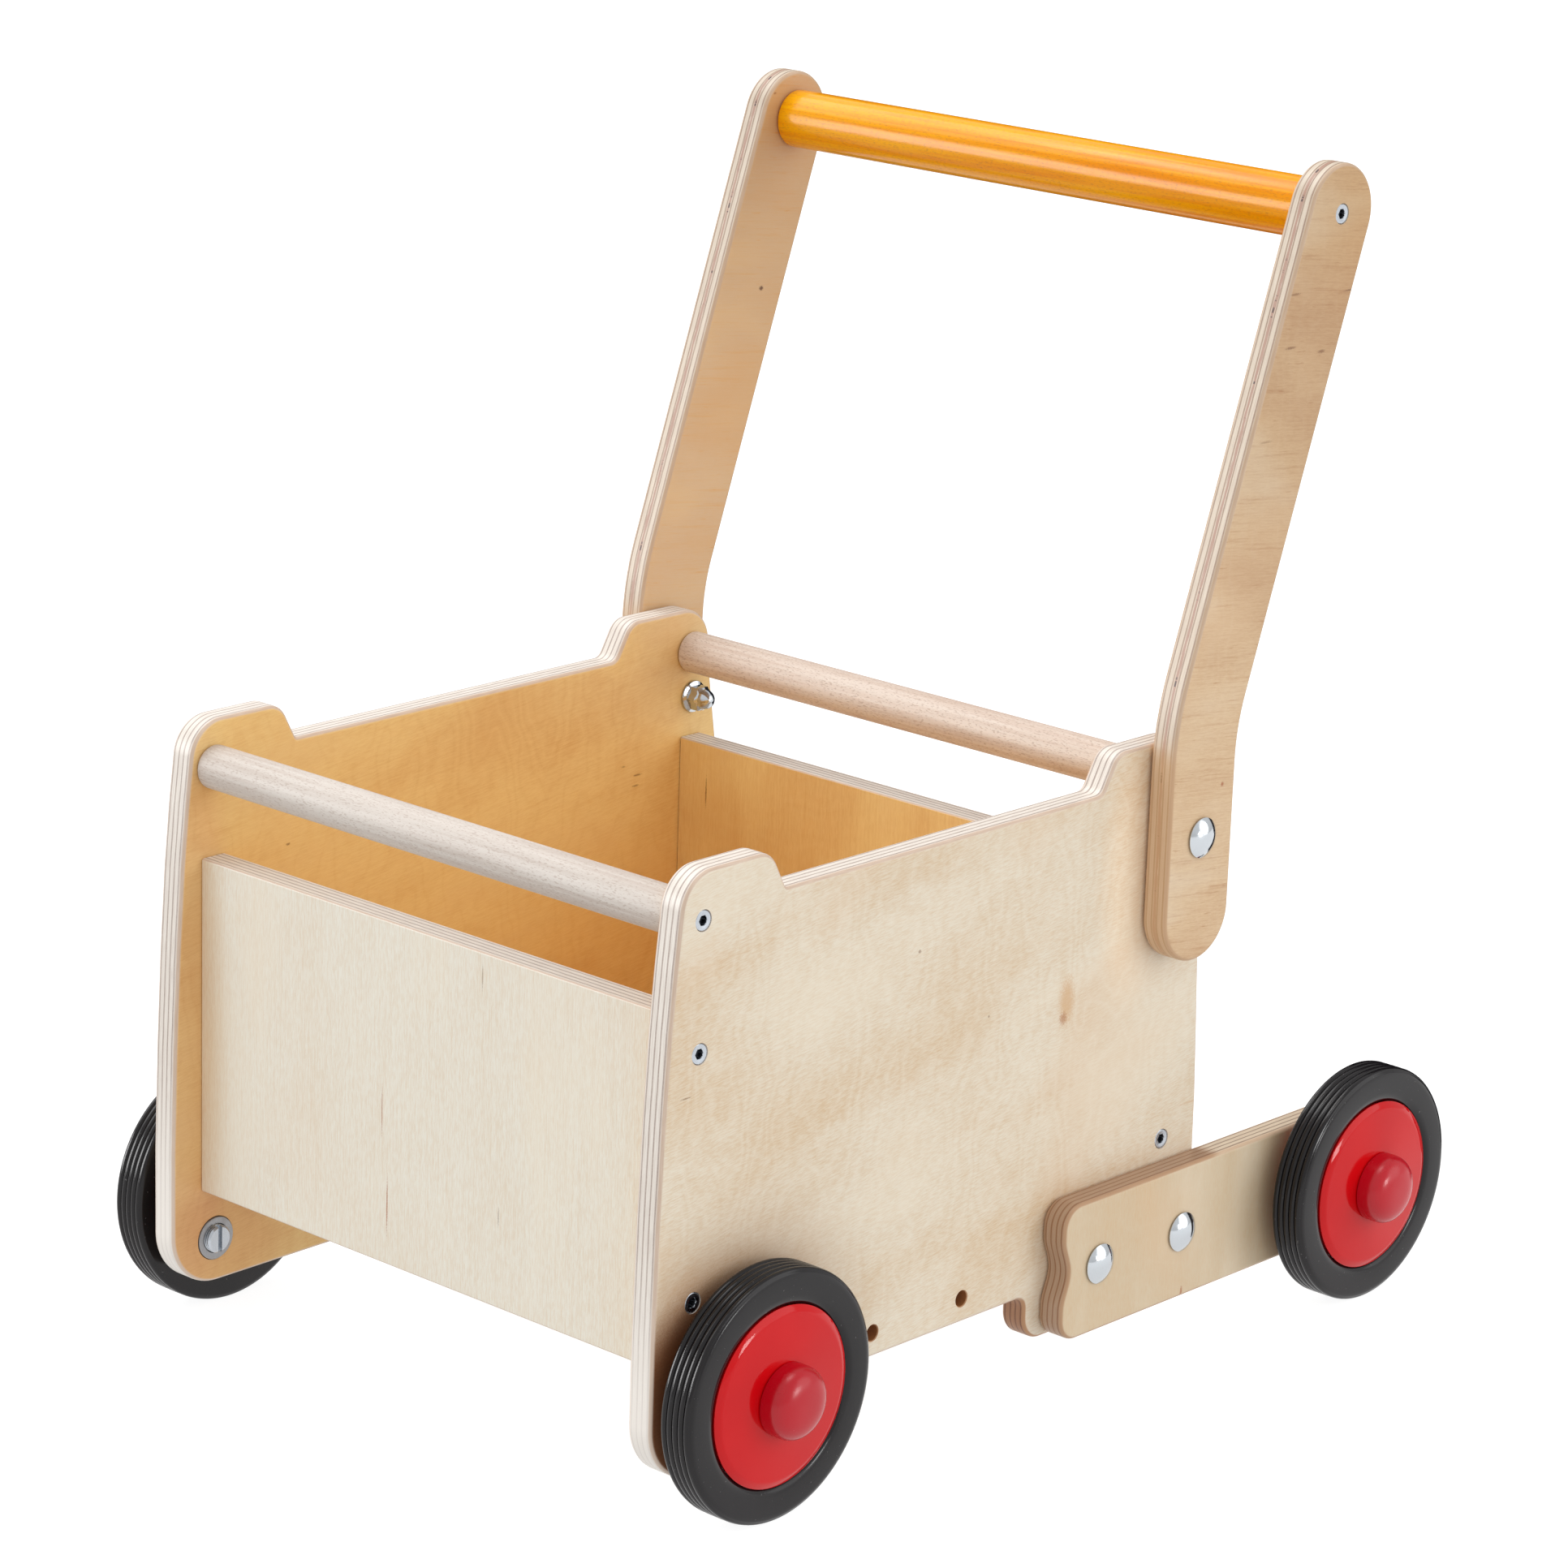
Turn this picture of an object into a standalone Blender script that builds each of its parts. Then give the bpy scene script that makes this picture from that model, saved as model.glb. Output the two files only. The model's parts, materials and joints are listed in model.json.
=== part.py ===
"""Push-along truck: birch plywood toddler walker wagon, every piece its own closed body.

Millimetres are used below and turned into metres by MM. X is the width, Y runs from the front (-Y) to
the handle (+Y), Z is up and the tyres stand on Z = 0. Side-view drawings are (y, z) pairs measured from
the front wheel's axle line and shifted by Y_SHIFT, which centres the object's length on the origin.
"""

import math

import bmesh
import bpy
from mathutils import Vector

for old in list(bpy.data.objects):
    bpy.data.objects.remove(old, do_unlink=True)

MM = 0.001
Y_SHIFT = -174.0

# --- plywood and running gaps -------------------------------------------------------------------
PLY = 12.0
GAP = 0.3
SIDE_IN = 127.5
SIDE_OUT = SIDE_IN + PLY
WARM_IN = SIDE_OUT + GAP          # wheel arms, bolted flat on the side panels
WARM_OUT = WARM_IN + PLY
HARM_IN = SIDE_OUT + 1.0          # handle arms, held off by the dowel's shoulder
HARM_OUT = HARM_IN + PLY
ARRIS = 1.6

# --- stations, (y, z) from the front axle line --------------------------------------------------
WHEEL_R = 50.0
FRONT_AXLE = (0.0, 50.0)
REAR_AXLE = (348.0, 50.0)
TYRE_IN_F = 145.8
TYRE_W = 14.4
TRACK_STEP = 13.4                 # rear wheels stand further out by the wheel arm and its gap
FRONT_DOWEL = (-26.9, 236.2)
REAR_DOWEL = (244.8, 236.6)
DOWEL_R = 8.9
BAR = (314.2, 458.9)
BAR_R = 12.3
HANDLE_BOLT = (246.2, 216.4)
ARM_BOLTS = ((196.1, 48.7), (248.3, 48.7))
SPARE_HOLES = ((74.3, 48.7), (126.5, 48.7))
BRAKE = (-25.2, 37.6)
FRONT_Y = (-32.9, -20.9)
BACK_Y = (239.2, 251.2)
PANEL_Z = (59.5, 199.4)
FLOOR_Z = (65.0, 74.0)
TONGUE_Z = (67.0, 72.0)
GROOVE = 4.0
PANEL_SCREWS = ((-26.9, 185.3), (-26.9, 88.5), (247.8, 185.3), (247.8, 85.4))


# --- mesh helpers -------------------------------------------------------------------------------
def stock_material(name, stock):
    """One Principled material for one piece; stock is (colour, roughness, metallic)."""
    color, roughness, metallic = stock
    material = bpy.data.materials.new(name)
    material.diffuse_color = (*color, 1.0)
    material.use_nodes = True
    shader = material.node_tree.nodes["Principled BSDF"]
    shader.inputs["Base Color"].default_value = (*color, 1.0)
    shader.inputs["Roughness"].default_value = roughness
    shader.inputs["Metallic"].default_value = metallic
    return material


def make(name, verts, faces, stock, round_shape=False):
    """An object from millimetre vertices, its faces turned outwards; without a stock it is a cutter."""
    bm = bmesh.new()
    made = [bm.verts.new(Vector((x, y + Y_SHIFT, z)) * MM) for x, y, z in verts]
    for face in faces:
        bm.faces.new([made[i] for i in face])
    bmesh.ops.recalc_face_normals(bm, faces=bm.faces)
    if bm.calc_volume(signed=True) < 0:
        bmesh.ops.reverse_faces(bm, faces=bm.faces)
    mesh = bpy.data.meshes.new(name)
    bm.to_mesh(mesh)
    bm.free()
    obj = bpy.data.objects.new(name, mesh)
    bpy.context.scene.collection.objects.link(obj)
    if stock is None:
        obj.hide_render = True
        obj.display_type = "WIRE"
    else:
        mesh.materials.append(stock_material(name, stock))
    if round_shape:
        mesh.shade_smooth()
        mesh.set_sharp_from_angle(angle=math.radians(35.0))
    return obj


def set_origin(obj, x, y, z):
    """Moves a piece's origin onto its joint axis and leaves its shape where it is."""
    place = Vector((x, y + Y_SHIFT, z)) * MM
    for v in obj.data.vertices:
        v.co -= place
    obj.location = place


def rounded(corners, step=20.0):
    """A closed (y, z) outline from (y, z, radius) corners, each radius drawn as an arc."""
    out = []
    count = len(corners)
    for i, (y, z, r) in enumerate(corners):
        here = Vector((y, z))
        if not r:
            out.append((y, z))
            continue
        a = (Vector(corners[i - 1][:2]) - here).normalized()
        b = (Vector(corners[(i + 1) % count][:2]) - here).normalized()
        half = a.angle(b) / 2.0
        centre = here + (a + b).normalized() * (r / math.sin(half))
        start = here + a * (r / math.tan(half)) - centre
        end = here + b * (r / math.tan(half)) - centre
        turn = math.atan2(start.x * end.y - start.y * end.x, start.dot(end))
        n = max(2, int(round(abs(math.degrees(turn)) / step)))
        for k in range(n + 1):
            t = turn * k / n
            c, s = math.cos(t), math.sin(t)
            out.append((centre.x + start.x * c - start.y * s, centre.y + start.x * s + start.y * c))
    return out


def inset(outline, d):
    """The outline moved inwards by d, vertex for vertex."""
    n = len(outline)
    area = sum(outline[i - 1][0] * outline[i][1] - outline[i][0] * outline[i - 1][1] for i in range(n))
    side = 1.0 if area > 0 else -1.0
    out = []
    for i, p in enumerate(outline):
        here = Vector(p)
        a = (here - Vector(outline[i - 1])).normalized()
        b = (Vector(outline[(i + 1) % n]) - here).normalized()
        na, nb = Vector((-a.y, a.x)) * side, Vector((-b.y, b.x)) * side
        m = (na + nb).normalized()
        out.append(tuple(here + m * (d / max(0.5, m.dot(na)))))
    return out


def slab(name, outline, x0, x1, stock, arris=ARRIS):
    """A plywood piece: the (y, z) outline given thickness from x0 to x1, with its arrises taken off."""
    small = inset(outline, arris)
    lo, hi = min(x0, x1), max(x0, x1)
    rings = ((lo, small), (lo + arris, outline), (hi - arris, outline), (hi, small))
    n = len(outline)
    verts = [(x, y, z) for x, ring in rings for y, z in ring]
    faces = [list(range(n)), [3 * n + i for i in range(n)]]
    for k in range(3):
        for i in range(n):
            j = (i + 1) % n
            faces.append([k * n + i, k * n + j, (k + 1) * n + j, (k + 1) * n + i])
    return make(name, verts, faces, stock)


def box(name, x, y, z, stock=None, arris=0.0):
    """A box given by its three ranges, with its arrises taken off when arris is given."""
    if not arris:
        verts = [(a, b, c) for a in x for b in y for c in z]
        faces = [[0, 1, 3, 2], [4, 5, 7, 6], [0, 1, 5, 4], [2, 3, 7, 6], [0, 2, 6, 4], [1, 3, 7, 5]]
        return make(name, verts, faces, stock)
    ring = [(y[0], z[0]), (y[1], z[0]), (y[1], z[1]), (y[0], z[1])]
    points = rounded([(*p, arris) for p in ring], 45.0)
    verts = [(a, b, c) for a in x for b, c in points]
    n = len(points)
    faces = [list(range(n)), [n + i for i in range(n)]]
    faces += [[i, (i + 1) % n, n + (i + 1) % n, n + i] for i in range(n)]
    return make(name, verts, faces, stock)


def tongued_board(name, x, y, rows, stock):
    """A level board with a stepped edge: rows of (z, distance inside the x and y ranges), going up."""
    verts = []
    for z, d in rows:
        (x0, x1), (y0, y1) = (x[0] + d, x[1] - d), (y[0] + d, y[1] - d)
        verts += [(x0, y0, z), (x1, y0, z), (x1, y1, z), (x0, y1, z)]
    last = 4 * (len(rows) - 1)
    faces = [[0, 1, 2, 3], [last, last + 1, last + 2, last + 3]]
    for i in range(0, last, 4):
        faces += [[i + k, i + (k + 1) % 4, i + 4 + (k + 1) % 4, i + 4 + k] for k in range(4)]
    return make(name, verts, faces, stock)


def turned(name, centre, profile, segments, stock=None, bore=None):
    """A body turned about an X axis through (y, z) centre from an open (x, radius) profile.

    Both ends of the profile close on the axis. bore, a second profile run the same way, is joined to
    the first at both ends and makes a through hole.
    """
    cy, cz = centre
    verts, faces, rings = [], [], []

    def ring(x, r):
        if r <= 0:
            verts.append((x, cy, cz))
            return [len(verts) - 1]
        first = len(verts)
        for k in range(segments):
            a = 2.0 * math.pi * k / segments
            verts.append((x, cy + r * math.cos(a), cz + r * math.sin(a)))
        return list(range(first, first + segments))

    line = list(profile) + (list(reversed(bore)) if bore else [])
    rings = [ring(x, r) for x, r in line]
    pairs = list(zip(rings, rings[1:]))
    if bore:
        pairs.append((rings[-1], rings[0]))
    for a, b in pairs:
        for k in range(segments):
            j = (k + 1) % segments
            if len(a) == 1 and len(b) == 1:
                continue
            if len(a) == 1:
                faces.append([a[0], b[k], b[j]])
            elif len(b) == 1:
                faces.append([a[k], a[j], b[0]])
            else:
                faces.append([a[k], a[j], b[j], b[k]])
    if not bore:
        for end in (rings[0], rings[-1]):
            if len(end) > 1:
                faces.append(list(end))
    return make(name, verts, faces, stock, round_shape=True)


def cut(obj, cutter):
    mod = obj.modifiers.new("cut_" + cutter.name, "BOOLEAN")
    mod.operation = "DIFFERENCE"
    mod.solver = "EXACT"
    mod.object = cutter


def drill(obj, tag, centre, profile, segments=12):
    """Cuts a turned shape out of obj."""
    cut(obj, turned("cutter_" + tag, centre, profile, segments))


def hole(obj, tag, centre, x0, x1, r, segments=12):
    drill(obj, tag, centre, ((x0, r), (x1, r)), segments)


def mirrored(points, side):
    """A profile or a range written for the +X side, carried to side."""
    return [(side * p[0], *p[1:]) for p in points]


# --- stocks: colour, roughness, metallic --------------------------------------------------------
BIRCH = ((0.80, 0.66, 0.48), 0.55, 0.0)
TAN_BIRCH = ((0.64, 0.44, 0.24), 0.50, 0.0)
BEECH = ((0.78, 0.56, 0.34), 0.45, 0.0)
ORANGE = ((0.95, 0.36, 0.01), 0.20, 0.0)
RED = ((0.62, 0.02, 0.03), 0.25, 0.0)
RUBBER = ((0.04, 0.04, 0.045), 0.60, 0.0)
STEEL = ((0.62, 0.62, 0.64), 0.30, 1.0)

SIDES = (("right", 1.0), ("left", -1.0))

# --- plywood outlines ---------------------------------------------------------------------------
FOOT_Z, ARCH_Z = 18.8, 38.5
SIDE_OUTLINE = rounded(
    [
        (-47.6, FOOT_Z, 24.0),
        (-47.6, 78.0, 0),
        (-46.5, 122.0, 0),
        (-44.9, 160.0, 0),
        (-42.7, 196.0, 0),
        (-40.5, 220.0, 0),
        (-36.4, 255.3, 16.0),
        (9.0, 255.3, 11.0),
        (17.3, 239.8, 1.5),
        (199.0, 239.8, 5.0),
        (207.9, 255.3, 9.0),
        (254.8, 255.3, 16.0),
        (258.0, 222.0, 0),
        (262.2, 195.0, 0),
        (265.8, 165.0, 0),
        (267.8, 130.0, 0),
        (269.3, 100.0, 0),
        (270.0, 60.0, 0),
        (270.0, FOOT_Z, 12.0),
        (165.5, FOOT_Z, 11.0),
        (165.5, ARCH_Z, 5.0),
        (52.0, ARCH_Z, 5.0),
        (52.0, FOOT_Z, 11.0),
    ]
)


def handle_arm_outline():
    """A strip of constant width along a bent centre line, with half-round ends."""
    w, bend = 20.1, 100.0
    foot, top = Vector((246.2, 185.0)), Vector(BAR)
    knee = Vector((246.2, 261.4))
    up = (top - knee).normalized()
    lean = math.atan2(up.x, up.y)
    t = bend * math.tan(lean / 2.0)
    centre = knee - Vector((0, t)) + Vector((bend, 0))
    front, back = [], []
    for k in range(6):
        a = lean * k / 5.0
        d = Vector((-math.cos(a), math.sin(a)))
        front.append(tuple(centre + d * (bend + w)))
        back.append(tuple(centre + d * (bend - w)))
    cap = []
    for k in range(11):
        a = math.pi * k / 10.0 + lean
        cap.append(tuple(top + Vector((-math.cos(a), math.sin(a))) * w))
    toe = []
    for k in range(11):
        a = math.pi * k / 10.0
        toe.append(tuple(foot + Vector((math.cos(a), -math.sin(a))) * w))
    return front + cap + back[::-1] + toe


def wheel_arm_outline():
    """A straight bar with a shallow waist in its front end and a round rear end about the axle."""
    z0, z1, y0 = 19.6, 77.0, 173.8
    waist_z, waist_high, waist_deep = 33.7, 30.0, 3.8
    mid, r = (z0 + z1) / 2.0, (z1 - z0) / 2.0
    front = []
    for k in range(11):
        bow = 1.0 - math.cos(2.0 * math.pi * k / 10.0)
        front.append((y0 + waist_deep / 2.0 * bow, waist_z + waist_high * k / 10.0))
    out = rounded(
        [
            (y0, z0, 9.5),
            (*front[2], 0),
            (*front[8], 0),
            (y0, z1, 9.5),
            (REAR_AXLE[0], z1, 0),
            (REAR_AXLE[0], z0, 0),
        ]
    )
    body = [p for p in out if p[0] < REAR_AXLE[0] - 0.01 and abs(p[1] - mid) > 14.5]
    low = [p for p in body if p[1] < mid]
    high = [p for p in body if p[1] > mid]
    cap = []
    for k in range(13):
        a = math.pi * k / 12.0
        cap.append((REAR_AXLE[0] + r * math.sin(a), mid + r * math.cos(a)))
    return low + front + high + cap


# --- screws, bolts and nuts ---------------------------------------------------------------------
def wood_screw(name, centre, face, side, length=30.0):
    """A countersunk wood screw with a hexagon socket, its head flush with the face at |x| = face."""
    head, shank, socket, deep = 4.0, 2.1, 1.5, 2.2
    cy, cz = centre
    n = 12
    verts = []

    def ring(x, r, hexagon=False):
        first = len(verts)
        for k in range(n):
            a = 2.0 * math.pi * k / n
            rr = r * (math.cos(math.pi / 6.0) if hexagon and k % 2 else 1.0)
            verts.append((side * x, cy + rr * math.cos(a), cz + rr * math.sin(a)))
        return list(range(first, first + n))

    top = face - 0.15
    hexr = socket / math.cos(math.pi / 6.0)
    rings = [
        ring(top - deep, hexr, True),
        ring(top, hexr, True),
        ring(top, head),
        ring(top - 0.5, head),
        ring(top - 2.6, shank),
        ring(top - length + 4.0, shank),
        ring(top - length, 0.5),
    ]
    faces = [list(rings[0]), list(rings[-1])]
    for a, b in zip(rings, rings[1:]):
        for k in range(n):
            j = (k + 1) % n
            faces.append([a[k], a[j], b[j], b[k]])
    return make(name, verts, faces, STEEL)


def screw_way(objs, tag, centre, face, side, length=30.0):
    """Room for wood_screw in the pieces it passes through."""
    c = GAP
    top = face - 0.15
    way = (
        (top + 2.0, 4.0 + c),
        (top - 0.5 - c, 4.0 + c),
        (top - 2.6 - c, 2.1 + c),
        (top - length - 0.6, 2.1 + c),
    )
    profile = mirrored(way, side)
    for obj in objs:
        drill(obj, tag + "_" + obj.name, centre, profile, 12)


def carriage_bolt(name, centre, face, side):
    """A domed bolt with a square neck; it ends inside its cap nut."""
    cy, cz = centre
    n = 12
    verts, rings = [], []

    def ring(x, r, square=False):
        first = len(verts)
        for k in range(n):
            a = 2.0 * math.pi * (k + 0.5) / n
            rr = r
            if square:
                rr = r / max(abs(math.cos(a)), abs(math.sin(a)))
            verts.append((side * x, cy + rr * math.cos(a), cz + rr * math.sin(a)))
        rings.append(list(range(first, first + n)))

    f = face + GAP
    ring(f + 3.6, 1.6)
    ring(f + 3.0, 4.6)
    ring(f + 1.8, 7.0)
    ring(f + 0.4, 8.25)
    ring(f, 8.25)
    ring(f, 3.0, True)
    ring(f - 3.4, 3.0, True)
    ring(f - 3.4, 2.9)
    ring(SIDE_IN - 6.0, 2.9)
    faces = [list(rings[0]), list(rings[-1])]
    for a, b in zip(rings, rings[1:]):
        for k in range(n):
            j = (k + 1) % n
            faces.append([a[k], a[j], b[j], b[k]])
    return make(name, verts, faces, STEEL)


def bolt_way(arm, panel, tag, centre, face, side):
    cy, cz = centre
    hole(arm, tag + "_arm", centre, side * (face + 2.0), side * (SIDE_IN - 5.0), 2.9 + GAP, 12)
    h = 3.0 + GAP
    x = sorted((side * (face + 2.0), side * (face + GAP - 3.4 - GAP)))
    cut(arm, box("cutter_" + tag + "_square", x, (cy - h, cy + h), (cz - h, cz + h)))
    hole(panel, tag + "_panel", centre, side * (face + 2.0), side * (SIDE_IN - 5.0), 2.9 + GAP, 12)


def cap_nut(name, centre, side):
    """A flanged hexagon nut with a closed dome, standing on the inner face of the side panel."""
    cy, cz = centre
    n = 12
    verts, rings = [], []

    def ring(x, r, hexagon=False):
        first = len(verts)
        for k in range(n):
            a = 2.0 * math.pi * k / n
            rr = r * (math.cos(math.pi / 6.0) if hexagon and k % 2 else 1.0)
            verts.append((side * x, cy + rr * math.cos(a), cz + rr * math.sin(a)))
        rings.append(list(range(first, first + n)))

    b = SIDE_IN - GAP
    corner = 5.0 / math.cos(math.pi / 6.0)
    ring(b - 7.0, 3.3)
    ring(b, 3.3)
    ring(b, 7.0)
    ring(b - 1.0, 7.0)
    ring(b - 1.6, corner, True)
    ring(b - 6.2, corner, True)
    ring(b - 6.6, 4.7)
    ring(b - 9.0, 4.1)
    ring(b - 10.8, 2.6)
    ring(b - 11.5, 0.8)
    faces = [list(rings[0]), list(rings[-1])]
    for a, c in zip(rings, rings[1:]):
        for k in range(n):
            j = (k + 1) % n
            faces.append([a[k], a[j], c[j], c[k]])
    return make(name, verts, faces, STEEL)


# --- wheels -------------------------------------------------------------------------------------
def wheel(tag, axle, inner, side):
    """Tyre, disc, hub cap and axle pin of one wheel; inner is the tyre's inner side at |x|."""
    w, r = TYRE_W, WHEEL_R
    tread = [(inner, 36.2), (inner, r - 2.6), (inner + 2.6, r)]
    tread += [(inner + w - 2.6, r), (inner + w, r - 2.6), (inner + w, 36.2)]
    seat = [(inner + 4.0, 34.6), (inner + w - 4.0, 34.6)]
    tyre = turned("tyre_" + tag, axle, mirrored(tread, side), 32, RUBBER, bore=mirrored(seat, side))
    out = inner + w
    rim = [
        (inner + 0.4, 8.0),
        (inner + 0.4, 35.9),
        (inner + 4.0, 34.3),
        (out - 4.0, 34.3),
        (out - 0.2, 35.85),
        (out + 0.1, 35.85),
        (out + 1.0, 33.4),
        (out + 2.6, 15.0),
        (out + 2.6, 8.0),
    ]
    bore = [(inner + 0.4, 4.4), (out + 2.6, 4.4)]
    disc = turned("wheel_disc_" + tag, axle, mirrored(rim, side), 32, RED, bore=mirrored(bore, side))
    base = out + 2.6 + GAP
    dome = [
        (base + 9.0, 0.0),
        (base + 9.0, 4.3),
        (base, 4.3),
        (base, 14.4),
        (base + 0.6, 15.0),
        (base + 3.4, 14.8),
        (base + 7.0, 12.9),
        (base + 10.4, 9.0),
        (base + 12.3, 4.6),
        (base + 12.8, 0.0),
    ]
    cap = turned("hub_cap_" + tag, axle, mirrored(dome, side), 20, RED)
    return tyre, disc, cap, out


def axle_pin(tag, axle, plate_in, plate_out, inner, out, side):
    """A headed pin through the plate, with a collar that spaces the wheel off it."""
    profile = [
        (plate_in - 3.4, 3.0),
        (plate_in - 2.8, 5.6),
        (plate_in - GAP, 7.0),
        (plate_in - GAP, 4.0),
        (plate_out + GAP, 4.0),
        (plate_out + GAP, 7.0),
        (inner + 0.1, 7.0),
        (inner + 0.1, 4.0),
        (out + 2.6 + 8.4, 4.0),
        (out + 2.6 + 8.9, 3.4),
    ]
    return turned("axle_" + tag, axle, mirrored(profile, side), 14, STEEL)


# --- build --------------------------------------------------------------------------------------
front = box("front_panel", (-SIDE_IN + GAP, SIDE_IN - GAP), FRONT_Y, PANEL_Z, BIRCH, arris=0.8)
back = box("back_panel", (-SIDE_IN + GAP, SIDE_IN - GAP), BACK_Y, PANEL_Z, BIRCH, arris=0.8)
reach = GROOVE - 0.4
inside = reach + GAP
tongued_board(
    "floor_panel",
    (-SIDE_IN - reach, SIDE_IN + reach),
    (FRONT_Y[1] - reach, BACK_Y[0] + reach),
    [
        (FLOOR_Z[0], inside + 0.6),
        (FLOOR_Z[0] + 0.6, inside),
        (TONGUE_Z[0], inside),
        (TONGUE_Z[0], 0.0),
        (TONGUE_Z[1], 0.0),
        (TONGUE_Z[1], inside),
        (FLOOR_Z[1] - 0.6, inside),
        (FLOOR_Z[1], inside + 0.6),
    ],
    BIRCH,
)
groove_z = (TONGUE_Z[0] - GAP, TONGUE_Z[1] + GAP)
wide = (-SIDE_IN - 10.0, SIDE_IN + 10.0)
cut(front, box("cutter_groove_front", wide, (FRONT_Y[1] - GROOVE, FRONT_Y[1] + 2.0), groove_z))
cut(back, box("cutter_groove_back", wide, (BACK_Y[0] - 2.0, BACK_Y[0] + GROOVE), groove_z))

near, far = SIDE_IN - GAP, HARM_IN + 6.0
front_dowel = turned(
    "front_dowel",
    FRONT_DOWEL,
    [(-near, DOWEL_R - 0.6), (-near + 0.6, DOWEL_R), (near - 0.6, DOWEL_R), (near, DOWEL_R - 0.6)],
    20,
    BEECH,
)
turned(
    "rear_dowel",
    REAR_DOWEL,
    [
        (-far, 5.4),
        (-far + 0.8, 6.0),
        (-near, 6.0),
        (-near, DOWEL_R - 0.6),
        (-near + 0.6, DOWEL_R),
        (near - 0.6, DOWEL_R),
        (near, DOWEL_R - 0.6),
        (near, 6.0),
        (far - 0.8, 6.0),
        (far, 5.4),
    ],
    20,
    BEECH,
)
end = HARM_IN - GAP
bar = turned(
    "handle_bar",
    BAR,
    [(-end, BAR_R - 0.8), (-end + 0.8, BAR_R), (end - 0.8, BAR_R), (end, BAR_R - 0.8)],
    28,
    ORANGE,
)

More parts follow.
